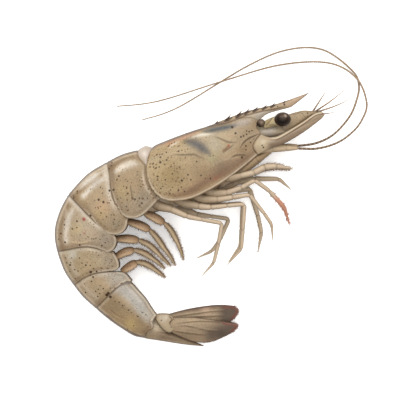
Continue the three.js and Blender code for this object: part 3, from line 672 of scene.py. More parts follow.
# Blots and strokes of the carapace, some of them painted highlights and painted shade: where, width, colour,
# strength and, for some strokes, taper.
CARAPACE_MARKS = (
    ((-11.8, 6.2), 4.4, (164, 140, 94), 0.8),
    ((-15.5, 8.8), 2.6, (186, 168, 130), 0.35),
    ((-4.6, 8.6), 3.6, (168, 145, 112), 0.6),
    ((-1.6, 6.8), 2.4, (150, 126, 95), 0.75),
    ((2.4, 9.3), 1.7, (148, 126, 101), 0.6),
    ((-7.0, 13.6), 2.6, (186, 166, 126), 0.5),
    ((1.4, 15.4), 2.8, (194, 184, 162), 0.8),
    ((0.6, 11.1), 1.7, (174, 168, 130), 0.55),
    ((8.5, 19.0), 2.4, (184, 162, 132), 0.6),
    ((11.8, 15.5), 2.0, (176, 151, 120), 0.5),
    # A brown band along the belly margin, darkened further as painted shade of the lower flank.
    (
        ((-14.2, 0.6), (-10.4, 0.2), (-6.1, 1.3), (-1.8, 3.9), (2.5, 6.6), (7.6, 9.6), (11.6, 12.2)),
        1.2, (128, 96, 72), 0.75,
    ),
    (((-0.6, 6.6), (4.5, 9.1), (9.0, 10.9)), 1.5, (140, 118, 96), 0.5),
    (((-0.6, 4.2), (1.8, 5.4), (4.2, 7.0)), 0.5, (140, 96, 76), 0.5),
    ((1.8, 5.3), 0.4, (150, 80, 62), 0.6),
    # A painted highlight along the lower front.
    (((-1.4, 7.6), (2.6, 10.2), (6.7, 11.5), (10.6, 11.6)), 0.45, (196, 180, 156), 0.4),
    (((-15.8, 15.0), (-12.0, 16.4), (-8.7, 17.6), (-5.3, 18.7), (-2.4, 19.8)), 0.85, (206, 160, 132), 0.85),
    ((-12.0, 15.8), 0.9, (206, 142, 100), 0.65),
    # Painted highlights on the upper flank: a small crescent, the long white streak and a softer glow below
    # it.
    (((-12.5, 13.8), (-11.2, 15.3), (-8.9, 16.2)), 0.45, (230, 218, 200), 0.8),
    (((-7.2, 16.8), (-4.5, 17.7), (-2.0, 18.3), (2.2, 18.7)), 0.6, (246, 240, 230), 0.95, 0.5),
    (((-5.4, 16.9), (-1.0, 17.4), (2.6, 17.6)), 0.7, (196, 184, 164), 0.2),
    (((5.0, 20.7), (8.5, 21.5), (13.0, 22.2)), 1.0, (174, 162, 154), 0.85),
    (((-2.8, 19.1), (0.4, 19.7), (3.4, 20.2), (8.2, 21.1)), 0.88, (102, 104, 106), 1.0),
    (((-8.3, 16.5), (-5.4, 15.9), (-3.1, 14.8), (-0.9, 13.1), (0.4, 11.8)), 1.35, (94, 91, 90), 0.97, 0.35),
    (((8.0, 21.9), (11.0, 22.7), (13.6, 23.0)), 0.6, (204, 194, 186), 0.6),
)


def carapace_half(along, down):
    widest = profile((3.6, 5.0, 6.2, 6.8, 6.8), along)
    stomach = bump(along - 0.44 + 0.45 * (down - 0.35), 0.045) * bump(down - 0.35, 0.22)
    gills = bump(down - 0.4 - 0.35 * (along - 0.75) ** 2, 0.045) * bump(along - 0.75, 0.16)
    return np.maximum(0, widest * arch(down) - 0.35 * stomach - 0.22 * gills)


def edge_paint(paint, plate, width=0.2, place=0.5):
    """A pale rim along the belly and rear edges, with a fine dark line outside it and a faint line of painted
    shade inside it.
    """
    belly, rear = plate.values(plate.from_belly), plate.values(plate.from_rear)
    low = ramp(plate.values(plate.down), 0.35, 0.7)
    inner = place + width + 0.25
    # Painted shade: a faint darker line inside the rim, where it drops towards its hollow.
    paint.lay(BROWN, 0.45 * np.maximum(bump(belly - inner, 0.22), bump(rear - inner, 0.22) * low))
    paint.lay(RIM, 0.85 * np.maximum(bump(belly - place, width), bump(rear - place, width) * low))
    paint.lay(INK, 0.6 * np.maximum(bump(belly, 0.17), bump(rear, 0.17)))


def carapace_paint(plate):
    paint = plate.paint(TAN)
    x = paint.places[:, 0]
    down, back = plate.values(plate.down), plate.values(plate.from_back)
    paint.lay((187, 165, 130), 0.8 * ramp(-x, 4, 14))
    paint.lay((162, 141, 115), 0.8 * ramp(x, 3, 12))
    # Darker and browner towards the belly edge: the shell's browner colour there, with painted shade of the
    # lower flank.
    paint.lay((174, 144, 108), 0.75 * ramp(down, 0.52, 0.8) * ramp(x, -14, -4))
    paint.lay((142, 118, 93), 0.8 * ramp(down, 0.6, 0.92) * ramp(x, -2, 9))
    paint.draw(CARAPACE_MARKS)
    paint.lay(BROWN, 0.7 * bump(back - 0.5, 0.5) * ramp(-x, 2, 10))
    ahead_of_rear = ramp(x, -14, -6) * (1 - ramp(x, 3, 7))
    paint.lay(UMBER, 0.85 * bump(back - 0.15, mix(0.3, 0.6, ramp(x, -12, 0))) * ahead_of_rear)
    # A dark stripe along the top of the back, behind the rostrum: the dark line down the back, and painted
    # shade that shows as an outline along the back's edge.
    behind_rostrum = 1 - ramp(x, 2, 6)
    paint.lay(INK, 0.8 * bump(back, 0.54) * behind_rostrum)
    paint.lay(DARK_LINE, 0.95 * bump(back, 0.26) * behind_rostrum)
    paint.stroke(CARINA[:5], 0.24, (100, 76, 54), 0.85, 0.1)
    edge_paint(paint, plate)
    paint.lay(INK, 0.45 * bump(plate.values(plate.from_front), 0.17) * ramp(down, 0.05, 0.15))
    for points, strength in zip(FLANK_GROOVES, GROOVE_STRENGTHS):
        # Each groove: painted shade in the groove and a painted highlight on its raised lip above.
        paint.stroke(points, 0.19, (86, 66, 48), strength)
        paint.stroke(np.array(points) + (-0.15, 0.5), 0.32, (206, 190, 166), 0.3)
    paint.blot((5.5, 15.0), 0.34, (176, 66, 40), 0.95)
    paint.stroke(((3.4, 13.0), (4.8, 14.2), (5.9, 15.2)), 0.36, (138, 100, 72), 0.7)
    paint.dot(FRONT_SPOTS + REAR_SPOTS)
    inner = ramp(back, 0.7, 1.8) * ramp(plate.values(plate.from_belly), 0.9, 1.8)
    paint.specks = (0.2 + 0.24 * ramp(-x, -7, 2) + 0.5 * ramp(-x, 4, 10)) * inner
    return paint


def carapace_relief(plate):
    relief = plate.rim(0.4, 1.3)
    for points in FLANK_GROOVES:
        relief -= 0.16 * plate.near(points, 0.3)
        relief += 0.08 * plate.near(np.array(points) + (-0.1, 0.6), 0.4)
    relief += 0.14 * plate.near(CARINA[:4], 0.35, 0.1)
    relief += 0.1 * bump(np.linalg.norm(plate.rings[..., :2] - (1.4, 14.6), axis=-1), 2.6)
    return np.where(plate.flank, relief, 0)


def add_plate(shape, plate, paint):
    """Adds a plate whose rear edge is folded in, with the paint of its own rings on the fold too."""
    rings = plate.folded()
    rows = np.minimum(np.arange(len(rings)), len(plate.rings) - 1)
    columns = rings.shape[1]
    index = np.concatenate([(rows[:, None] * columns + np.arange(columns)).ravel(), [-2, -1]])
    worn = Paint(np.zeros((1, 3)), TAN)
    worn.tint, worn.specks, worn.spots = paint.tint[index], paint.specks[index], paint.spots[index]
    add_tube(shape, rings, lambda *_: worn, plate.skin[rows])
    return shape


class BladePlate(Grid):
    """A flat plate with a rounded edge. lateral(along, down, y) gives its middle height and half width."""

    def __init__(self, patch, lateral, rows, columns, power, ends):
        share = (1 - np.cos(np.linspace(0, math.pi, rows))) / 2
        share = mix(share, np.linspace(0, 1, rows), 0.6)
        turn = np.linspace(0, 2 * math.pi, columns, endpoint=False)
        self.along = np.broadcast_to(share[:, None], (rows, columns))
        self.down = np.broadcast_to((1 - np.cos(turn)) / 2, self.along.shape)
        upper = np.sign(np.sin(turn)) * np.abs(np.sin(turn)) ** power
        side_view = patch.point(self.along, self.down)
        middle, half = lateral(self.along, self.down, side_view[..., 1])
        closing = np.sqrt(np.clip(np.minimum(self.along, 1 - self.along) / ends, 0.02, 1))
        self.settle(patch, side_view, middle + half * upper * closing)


TOOTH_BROWN = (72, 48, 22)
TOOTH_SHARES = (0.13, 0.24, 0.345, 0.42, 0.5, 0.58, 0.655, 0.76)
TOOTH_SIZES = (0.85, 1.1, 1.05, 0.9, 0.85, 0.8, 0.75, 0.4)
TOOTH_ROWS = 9
TOOTH_COLUMNS = 10


def leaf(down, full, edge):
    """A thickness that is full half way down and edge at both edges."""
    return mix(edge, full, np.sin(math.pi * np.clip(down, 0, 1)))


def add_rostrum(shape):
    """The thin blade ahead of the carapace, with the teeth along its top."""
    foot, tip = ROSTRUM_TOP[0], ROSTRUM_TOP[-1]
    patch = Patch((foot, ROSTRUM_BOTTOM[0]), (tip, ROSTRUM_BOTTOM[-1]), ROSTRUM_TOP, ROSTRUM_BOTTOM)

    def lateral(along, down, y):
        thick = mix(0.95, 0.22, along) * (0.28 + 0.72 * bump(down - 0.62, 0.4))
        return np.full_like(y, MID_HEIGHT), thick

    blade = BladePlate(patch, lateral, rows=150, columns=48, power=0.7, ends=0.01)
    paint = blade.paint((182, 160, 130), specks=0.25)
    x = paint.places[:, 0]
    down = blade.values(blade.down)
    paint.lay((204, 194, 184), 0.85 * ramp(down, 0.5, 0.75) * (1 - ramp(x, 15, 22)))
    paint.lay((196, 168, 144), 0.7 * ramp(x, 18, 26))
    paint.lay((206, 186, 172), 0.6 * ramp(x, 24, 29) * bump(down - 0.4, 0.3))
    paint.stroke(CARINA, 0.24, (100, 76, 54), 0.9, 0.15)
    # A painted highlight along the carina, just below its dark line.
    paint.stroke(np.array(CARINA) + (0.0, -0.5), 0.3, (222, 214, 204), 0.6, 0.15)
    paint.lay(UMBER, 0.8 * bump(blade.values(blade.from_back), 0.3) * (1 - 0.5 * ramp(x, 18, 26)))
    paint.lay(INK, 0.7 * bump(blade.values(blade.from_belly), 0.16))
    paint.dot(((22.3, 27.4, 0.28), (20.3, 26.8, 0.2)))
    line = Line(ROSTRUM_TOP)
    for share, size in zip(TOOTH_SHARES, TOOTH_SIZES):
        here, heading, upward = edge_frame(line, share, 0.02)
        low = here - heading * 0.75 * size - upward * 0.72 * size
        high = here + heading * 0.95 * size - upward * 0.1
        paint.crisp_stroke((low, here - upward * 0.4, high), 0.5 * size, TOOTH_BROWN, 0.95)
    blade.add_to(shape, paint)
    for share, size in zip(TOOTH_SHARES, TOOTH_SIZES):
        add_tooth(shape, *edge_frame(line, share, 0.03), size)


def edge_frame(line, share, step):
    """A point of the rostrum's upper edge, the way forward along the edge and the way out from it."""
    here = line.at(share)
    heading = line.at(share + step) - here
    heading /= np.linalg.norm(heading)
    return here, heading, np.array([-heading[1], heading[0]])


def add_tooth(shape, foot, heading, upward, size):
    """One forward-pointing tooth on the rostrum's upper edge."""
    t = np.linspace(0, 1, TOOTH_ROWS)[:, None]
    spine = foot + heading * (1.9 * t - 0.4) * size + upward * (0.85 * size * t**1.6 - 0.3 * (1 - t))
    radius = 0.4 * size * (1 - t**1.3) + 0.03
    turn = np.linspace(0, 2 * math.pi, TOOTH_COLUMNS, endpoint=False)
    lifted = spine[:, None, :] + (upward * 0.85 - heading * 0.2) * (radius * np.sin(turn))[..., None]
    side = MID_HEIGHT + 0.75 * radius * np.cos(turn)
    rings = np.concatenate([lifted, side[..., None]], axis=-1)

    def paint(points, row, _column):
        made = Paint(points, TOOTH_BROWN)
        made.lay((140, 112, 84), ramp(row / (TOOTH_ROWS - 1), 0.35, 0.9))
        return made

    add_tube(shape, rings, paint)


def build_carapace(_context):
    patch = Patch(CARAPACE_FRONT, REAR_EDGES[0], CARAPACE_BACK, CARAPACE_BELLY)
    section = plate_section(right=(64, 46), belly=14, left=(26, 18))
    plate = Plate(patch, carapace_half, section, edge_shares(150), groove=0.2)
    plate.raise_by(carapace_relief(plate))
    shape = add_plate(Shape(), plate, carapace_paint(plate))
    add_rostrum(shape)
    finish = painted_finish("carapace_shell")
    shape.make("carapace_shell", finish, ("carapace",), "carapace_shell")


# ---- Abdomen ----

# Larger dark spots of each somite: x, y and radius.
SOMITE_SPOTS = (
    (
        (-28.7, 1.8, 0.36), (-27.1, 5.9, 0.3), (-27.7, 4.8, 0.26), (-24.5, 4.4, 0.22),
        (-22.3, -1.0, 0.3), (-23.3, -0.5, 0.2), (-18.6, -0.7, 0.22), (-29.3, 10.0, 0.22),
        (-29.4, 9.0, 0.2), (-30.0, 8.1, 0.2), (-21.6, 7.2, 0.2), (-21.6, 6.3, 0.18), (-26.0, 7.9, 0.2),
    ),
    (
        (-29.9, 1.6, 0.34), (-32.6, 2.6, 0.24), (-32.0, 2.3, 0.2), (-32.0, 0.8, 0.24),
        (-33.1, -1.1, 0.36), (-31.7, -1.8, 0.38), (-30.3, -2.1, 0.24), (-32.6, -3.1, 0.24),
        (-35.6, 2.0, 0.2), (-39.6, 1.4, 0.24), (-39.6, 0.8, 0.2), (-40.7, 0.0, 0.2),
        (-35.5, -5.8, 0.32), (-40.6, -0.6, 0.22), (-28.6, -8.4, 0.2),
    ),
    (
        (-39.6, -7.5, 0.3), (-39.6, -9.4, 0.24), (-41.0, -9.8, 0.26), (-43.4, -8.6, 0.24),
        (-44.5, -11.2, 0.26), (-45.2, -12.9, 0.22), (-43.2, -13.8, 0.3), (-38.8, -14.6, 0.3),
        (-43.4, -9.8, 0.18), (-31.2, -13.9, 0.22), (-32.2, -14.8, 0.26), (-34.0, -12.6, 0.2),
        (-35.2, -12.7, 0.18), (-43.4, -7.0, 0.18),
    ),
    (
        (-43.1, -18.5, 0.2), (-41.3, -18.5, 0.18), (-38.9, -18.5, 0.24), (-42.8, -20.0, 0.2),
        (-41.6, -19.9, 0.2), (-41.8, -20.6, 0.3), (-38.2, -20.0, 0.22), (-37.0, -20.6, 0.28),
        (-36.5, -19.9, 0.18), (-35.7, -20.7, 0.22), (-35.6, -22.7, 0.4), (-33.8, -22.5, 0.28),
        (-40.4, -22.0, 0.22), (-39.4, -22.4, 0.22), (-41.9, -22.6, 0.18), (-40.3, -24.7, 0.2),
        (-31.0, -19.2, 0.16), (-30.0, -20.0, 0.16),
    ),
    (
        (-34.9, -24.2, 0.3), (-35.4, -25.5, 0.24), (-37.5, -26.3, 0.2), (-34.2, -28.5, 0.22),
        (-33.4, -27.9, 0.2), (-32.8, -26.8, 0.2), (-31.9, -27.7, 0.24), (-29.8, -27.5, 0.2),
        (-37.3, -28.9, 0.26), (-33.6, -30.1, 0.24), (-33.0, -29.2, 0.22), (-29.0, -24.8, 0.16),
        (-30.9, -29.6, 0.42), (-30.4, -29.0, 0.34),
    ),
    (
        (-29.8, -30.2, 0.42), (-28.4, -31.6, 0.18), (-27.2, -31.8, 0.22), (-26.2, -32.8, 0.24),
        (-24.4, -34.2, 0.24), (-23.6, -34.9, 0.18), (-21.6, -36.1, 0.24), (-20.3, -34.9, 0.2),
        (-19.2, -35.6, 0.2), (-24.7, -40.0, 0.2), (-22.9, -38.9, 0.18),
    ),
)

# Marks that only one somite carries, as for the carapace; some of them are painted highlights and painted
# shade.
SOMITE_MARKS = (
    (
        ((-26.0, 1.4), 2.6, (190, 168, 124), 0.6),
        ((-19.8, -1.4), 2.3, (162, 148, 130), 0.75),
        # A painted highlight on the upper flank.
        (((-28.2, 7.8), (-25.0, 9.4), (-21.9, 10.8)), 1.05, (236, 224, 210), 0.9),
        # Painted shade in the crease.
        (((-23.8, 3.6), (-23.4, 1.2), (-22.9, -1.4)), 0.15, INK, 0.7),
        (((-23.5, 3.8), (-23.0, 1.2), (-22.5, -1.2)), 0.4, (160, 146, 126), 0.4),
        (((-29.3, 10.4), (-29.0, 7.4), (-28.7, 4.6)), 0.8, (134, 110, 84), 0.6),
        # A pale line just behind the carapace's edge: a painted highlight, as at the other somites' fronts.
        (((-19.9, 8.4), (-19.8, 5.0), (-18.9, 2.2), (-16.5, -0.8)), 0.45, RIM, 0.6),
    ),
    (
        ((-34.5, 4.6), 1.9, (200, 188, 176), 0.55),
        # A painted highlight: a bright strip beside the back.
        (((-39.4, 1.6), (-36.6, 4.4), (-33.4, 6.6), (-31.8, 7.4)), 0.9, (240, 232, 224), 0.9),
        ((-31.8, -3.2), 2.2, (204, 168, 132), 0.6),
        ((-32.6, -5.6), 1.7, (190, 164, 116), 0.6),
        ((-27.8, -8.6), 1.6, (152, 138, 114), 0.7),
        (((-40.2, 0.6), (-37.2, -2.2), (-35.6, -5.0)), 0.6, (150, 128, 92), 0.55),
        # A painted highlight running down from the strip beside the back.
        (((-33.0, 8.4), (-31.4, 6.6), (-30.6, 3.8)), 0.5, (232, 222, 212), 0.7),
    ),
    (
        ((-37.4, -8.8), 2.6, (196, 182, 160), 0.6),
        ((-39.8, -9.8), 1.6, (194, 172, 130), 0.6),
        ((-30.8, -13.0), 2.2, (152, 140, 124), 0.7),
        # A painted highlight: a bright strip down the flank.
        (((-43.2, -3.4), (-42.4, -7.4), (-42.6, -11.6)), 0.85, (222, 210, 198), 0.6),
        # A painted highlight just above the crease.
        (((-41.9, -13.3), (-39.8, -13.9), (-37.4, -13.8), (-35.2, -13.2)), 0.28, (226, 200, 168), 0.8),
        ((-37.5, -6.9), 0.42, (150, 26, 26), 1.0),
        ((-37.4, -11.1), 0.35, (150, 92, 78), 0.7),
    ),
    (
        ((-40.8, -17.6), 1.2, (218, 216, 210), 0.75),
        ((-38.0, -21.4), 2.4, (186, 162, 126), 0.5),
        ((-29.7, -19.2), 1.8, (168, 154, 134), 0.6),
        (((-33.7, -20.2), (-32.2, -18.4), (-30.7, -17.3)), 0.2, (212, 196, 168), 0.5),
    ),
    (
        ((-31.6, -25.4), 2.0, (196, 172, 142), 0.5),
        ((-26.8, -23.8), 2.2, (184, 176, 166), 0.7),
        (((-30.9, -29.8), (-30.6, -29.3), (-30.2, -28.8)), 0.32, (40, 28, 18), 0.95, 0.1),
    ),
    (
        (((-29.0, -29.6), (-25.6, -31.6), (-21.8, -34.2)), 1.1, (190, 164, 130), 0.6),
        (((-27.2, -27.2), (-24.0, -29.6), (-21.2, -32.8), (-19.0, -35.6)), 1.5, (192, 188, 184), 0.85),
        # A painted highlight on the pale patch.
        (((-25.6, -26.6), (-22.4, -29.8), (-19.6, -33.4)), 0.5, (214, 206, 200), 0.7),
        # Painted shade in the crease.
        (((-30.3, -33.5), (-28.0, -35.8), (-25.3, -37.0)), 0.16, (98, 78, 56), 0.8),
        (((-30.2, -34.1), (-27.8, -36.4), (-25.0, -37.6)), 0.3, (182, 158, 122), 0.5),
        ((-24.0, -38.6), 2.2, (200, 172, 118), 0.75),
        # A lighter patch: painted light that offsets the shade the main light leaves on this part.
        ((-27.9, -36.6), 1.9, (178, 152, 114), 0.7),
        (((-31.5, -35.4), (-28.4, -38.4), (-24.8, -40.6), (-20.5, -42.4)), 0.42, (96, 70, 48), 0.8, 0.1),
    ),
)
# Creases of some somites, counted from 0: depth and line.
SOMITE_CREASES = {
    0: (0.15, ((-23.8, 3.6), (-23.4, 1.2), (-22.9, -1.4))),
    2: (0.12, ((-41.9, -13.9), (-39.8, -14.5), (-37.4, -14.4), (-35.2, -13.8))),
    5: (0.18, ((-30.3, -33.5), (-28.0, -35.8), (-25.3, -37.0))),
}
# Each somite's ground, its lower flank, the strength and width of the dark band beside the back, the
# strength and distance from the back of the painted highlight strip, the strength and width of the painted
# highlight along the front edge, and its specks.
SOMITE_LOOKS = (
    ((172, 149, 118), (166, 147, 122), (0.9, 1.3), (0.8, 3.9), (0.2, 0.5), 1.0),
    ((180, 158, 128), (162, 141, 113), (0.75, 1.2), (1.0, 4.0), (0.8, 1.1), 0.85),
    ((184, 164, 138), (168, 150, 128), (0.8, 1.1), (0.85, 3.6), (0.85, 0.9), 0.75),
    ((182, 162, 132), (168, 150, 128), (0.4, 0.8), (0.45, 3.0), (0.6, 0.6), 0.8),
    ((186, 164, 134), (186, 176, 164), (0.4, 0.7), (0.35, 2.6), (0.5, 0.6), 0.75),
    ((160, 137, 107), (190, 182, 172), (0.3, 0.6), (0.0, 2.0), (0.35, 0.4), 0.5),
)
SOMITE_ROWS = (60, 58, 66, 54, 52, 88)


def somite_patch(i):
    front = FIRST_SOMITE_FRONT
    if i > 0:
        ahead = Line(REAR_EDGES[i])
        followed = [tuple(ahead.at(t * FRONT_SHARES[i])) for t in (0, 0.25, 0.5, 0.75)]
        front = (*followed, BELLY_EDGES[i][0])
    rear = REAR_EDGES[i + 1]
    return Patch(front, rear, (front[0], *BACKS[i], rear[0]), (*BELLY_EDGES[i], rear[-1]))


def somite_paint(plate, i):
    ground, low_ground, band, highlight_strip, glow, density = SOMITE_LOOKS[i]
    paint = plate.paint(ground)
    along, down = plate.values(plate.along), plate.values(plate.down)
    back, front, rear = map(plate.values, (plate.from_back, plate.from_front, plate.from_rear))
    paint.lay(low_ground, 0.9 * ramp(down, 0.55, 0.85) if i < 4 else 0.95 * ramp(down, 0.45, 0.66))
    paint.lay((150, 126, 98), band[0] * bump(back - 2.0, band[1]) * ramp(along, -0.05, 0.1))
    fade = ramp(along, 0.06, 0.2) * (1 - ramp(along, 0.78, 0.95))
    # A painted highlight strip a little below the back.
    paint.lay((226, 216, 206), highlight_strip[0] * bump(back - highlight_strip[1], 0.85) * fade)
    paint.lay((222, 204, 182), 0.65 * bump(back - 0.95, 0.28) * (1 - 0.7 * ramp(along, 0.85, 1)))
    # A painted highlight along the front edge, just behind the plate ahead.
    paint.lay((226, 214, 200), glow[0] * bump(front - 0.7, glow[1]) * (1 - ramp(down, 0.6, 0.85)))
    paint.lay((128, 104, 80), 0.5 * bump(rear - 0.7, 0.7) * (1 - ramp(down, 0.6, 0.8)))
    # A dark stripe along the top of the back: the dark line down the back, and painted shade that shows as an
    # outline along the back's edge.
    paint.lay(INK, 0.85 * bump(back, 0.56))
    paint.lay(DARK_LINE, 0.95 * bump(back, 0.26))
    edge_paint(paint, plate, width=0.26, place=0.42)
    paint.lay(INK, 0.3 * bump(front, 0.3))
    paint.draw(SOMITE_MARKS[i])
    paint.dot(SOMITE_SPOTS[i])
    inner = ramp(back, 0.9, 2.0) * ramp(plate.values(plate.from_belly), 0.8, 1.4)
    paint.specks = density * (0.5 + 0.5 * ramp(down, 0.3, 0.55)) * inner
    return paint


def somite_plate(i):
    def half_width(along, down):
        widest = mix(SOMITE_HALF_WIDTHS[i], SOMITE_HALF_WIDTHS[i + 1] + SHELL_STEP, along)
        return widest * (1 + 0.025 * np.sin(math.pi * np.clip(along, 0, 1))) * arch(down)

    # The two rows before the front edge tuck in under the plate ahead.
    shares = np.concatenate([(-0.1, -0.05), edge_shares(SOMITE_ROWS[i])])
    section = plate_section(right=(50, 40), belly=10, left=(20, 14))
    plate = Plate(somite_patch(i), half_width, section, shares, groove=0.14)
    relief = plate.rim(0.35, 1.2)
    if i in SOMITE_CREASES:
        depth, crease = SOMITE_CREASES[i]
        relief -= depth * plate.near(crease, 0.3)
    tuck = 0.3 * (1 - ramp(plate.along, -0.05, 0.05))
    plate.raise_by(np.where(plate.flank, relief, 0) - tuck)
    return plate


def build_abdomen(_context):
    finish = painted_finish("abdomen_shell", flesh=0.05)
    for i in range(len(SOMITE_LOOKS)):
        plate = somite_plate(i)
        shape = add_plate(Shape(), plate, somite_paint(plate, i))
        shape.make(f"somite_{i + 1}_shell", finish, (f"somite_{i + 1}",), "abdomen_shell")
    build_hinge_lobe()


def build_hinge_lobe():
    """The pale lobe on the back, between the carapace and the first somite."""
    front = ((-17.2, 14.5), (-17.8, 12.4), (-18.6, 9.2))
    rear = ((-21.6, 13.8), (-21.4, 11.4), (-19.2, 9.0))
    patch = Patch(front, rear, (front[0], (-19.5, 15.0), rear[0]), (front[-1], rear[-1]))

    def half_width(along, down):
        return 0.15 + 6.15 * arch(0.3 * down) * (1 + 0.08 * np.sin(math.pi * along))

    section = plate_section(right=(26, 16), belly=6, left=(16, 8))
    plate = Plate(patch, half_width, section, np.linspace(0, 1, 26), groove=0.0)
    paint = plate.paint(PEARL)
    paint.blot((-19.5, 12.6), 1.1, (236, 224, 218), 0.95)
    paint.lay((206, 178, 162), 0.6 * bump(plate.values(plate.from_front), 0.5))
    paint.lay((128, 106, 90), 0.75 * bump(plate.values(plate.from_rear), 0.22))
    paint.lay((112, 92, 78), 0.75 * bump(plate.values(plate.from_back), 0.22))
    finish = painted_finish(
        "hinge_membrane", rough=(0.28, 0.42), mottle=0.05, coat=0.2, flesh=0.1, bump_depth=0.05,
    )
    plate.add_to(Shape(), paint).make("hinge_lobe_skin", finish, ("hinge_lobe",), "membrane")


# ---- Tail fan ----

# Outlines of the tail's pieces: front, rear, back and belly edges.
TELSON = (
    ((-20.9, -42.3), (-20.0, -40.4), (-18.2, -38.6), (-17.4, -35.9)),
    ((-1.9, -45.3), (-1.9, -45.0)),
    ((-20.9, -42.3), (-19.0, -43.0), (-15.0, -43.6), (-8.0, -44.7), (-1.9, -45.3)),
    ((-17.4, -35.9), (-15.6, -37.4), (-12.6, -40.4), (-6.6, -43.0), (-1.9, -45.0)),
)
OUTER_BLADE = (
    ((-12.4, -36.5), (-12.5, -38.6), (-12.9, -40.1)),
    ((7.2, -38.2), (8.5, -39.1), (7.0, -40.9)),
    ((-12.4, -36.5), (-5.6, -36.4), (-1.9, -36.8), (3.4, -37.6), (7.2, -38.2)),
    ((-12.9, -40.1), (-9.8, -41.9), (-4.3, -43.9), (0.8, -43.7), (7.0, -40.9)),
)
INNER_BLADE = (
    ((-13.6, -35.9), (-13.2, -37.2)),
    ((7.4, -33.1), (8.7, -34.7), (7.2, -37.0)),
    ((-13.6, -35.9), (-7.5, -34.2), (-1.1, -33.1), (3.5, -32.8), (7.4, -33.1)),
    ((-13.2, -37.2), (-5.6, -37.7), (-1.9, -38.1), (4.4, -38.5), (7.2, -37.0)),
)
TAIL_BASE = (
    ((-16.3, -35.6), (-16.5, -36.8), (-15.8, -38.0), (-14.9, -39.2)),
    ((-11.2, -36.1), (-10.9, -37.1), (-11.9, -38.3), (-10.6, -39.7)),
    ((-16.3, -35.6), (-14.6, -35.4), (-12.6, -35.5), (-11.2, -36.1)),
    ((-14.9, -39.2), (-13.4, -40.6), (-11.8, -41.0), (-10.6, -39.7)),
)
OUTER_RIBS = (
    ((-10.3, -38.3), (-7.0, -37.9), (-3.0, -37.6), (1.0, -37.7), (5.0, -38.2)),
    ((-9.8, -39.2), (-7.5, -39.0), (-4.5, -39.5), (-1.0, -40.3), (3.0, -40.6)),
    ((-11.6, -40.3), (-8.5, -40.9), (-4.5, -41.4), (-1.0, -41.7)),
)
INNER_RIBS = (
    ((-11.5, -36.3), (-6.0, -35.6), (0.0, -34.8), (5.0, -34.4)),
    ((-11.5, -36.6), (-6.0, -36.4), (-1.0, -36.2), (4.5, -36.0)),
)
DARK_BLADE = (92, 76, 64)
RUST = (128, 68, 58)
FRINGE_SEED = 169
# How far each side's tail pieces stand from the middle plane, the blades' at their roots and at their tips.
TAIL_BASE_OFFSET = 2.1
OUTER_OFFSETS = (1.9, 2.35)
INNER_OFFSETS = (0.75, 0.85)


def add_hairs(shape, roots, headings, lengths, colour, radius=0.045):
    """Adds fine tapered bristles, each a thin cone with three sides."""
    headings = headings / np.maximum(np.linalg.norm(headings, axis=1, keepdims=True), 1e-9)
    reach = headings * lengths[:, None]
    side = np.cross(headings, (0.0, 0.0, 1.0))
    side /= np.maximum(np.linalg.norm(side, axis=1, keepdims=True), 1e-9)
    other = np.cross(headings, side)
    angles = np.arange(3) * 2 * math.pi / 3
    ring = side[:, None] * np.cos(angles)[:, None] + other[:, None] * np.sin(angles)[:, None]
    low = roots[:, None] + ring * radius
    high = (roots + reach * 0.5)[:, None] + ring * radius * 0.7
    points = np.concatenate([low, high, (roots + reach)[:, None]], axis=1)
    count = len(roots)
    start = (np.arange(count) * 7)[:, None]
    quads = np.concatenate([start + (a, (a + 1) % 3, 3 + (a + 1) % 3, 3 + a) for a in range(3)])
    caps = [start + (3 + a, 3 + (a + 1) % 3, 6) for a in range(3)]
    triangles = np.concatenate([*caps, start + (2, 1, 0)])
    skin = np.zeros((count * 7, 3))
    skin[:, 0] = np.repeat(np.arange(count), 7) * 0.37
    shape.add(points.reshape(-1, 3), quads, triangles, Paint(points, colour), skin)


def fringe(shape, line, heights, spacing, length, colour, seed, outwards, lean, span, radius=0.045):
    """Hairs along a line of the side view. outwards is +1 for its left-hand side and -1 for its right."""
    draw = np.random.default_rng(seed)
    reach = span[1] - span[0]
    count = max(2, int(line.length * reach / spacing))
    share = np.linspace(*span, count) + draw.uniform(-0.4, 0.4, count) / count * reach
    share = np.clip(share, 0, 1)
    here = line.at(share)
    heading = line.at(share + 0.01) - here
    heading /= np.linalg.norm(heading, axis=1, keepdims=True)
    normal = np.stack([-heading[:, 1], heading[:, 0]], -1) * outwards
    flat = normal + heading * (lean + draw.uniform(-0.25, 0.25, count)[:, None])
    directions = np.concatenate([flat, draw.uniform(-0.2, 0.2, (count, 1))], axis=1)
    roots = np.concatenate([here - normal * 0.15, heights(here[:, 1])[:, None]], axis=1)
    add_hairs(shape, roots, directions, length * draw.uniform(0.6, 1.1, count), colour, radius)


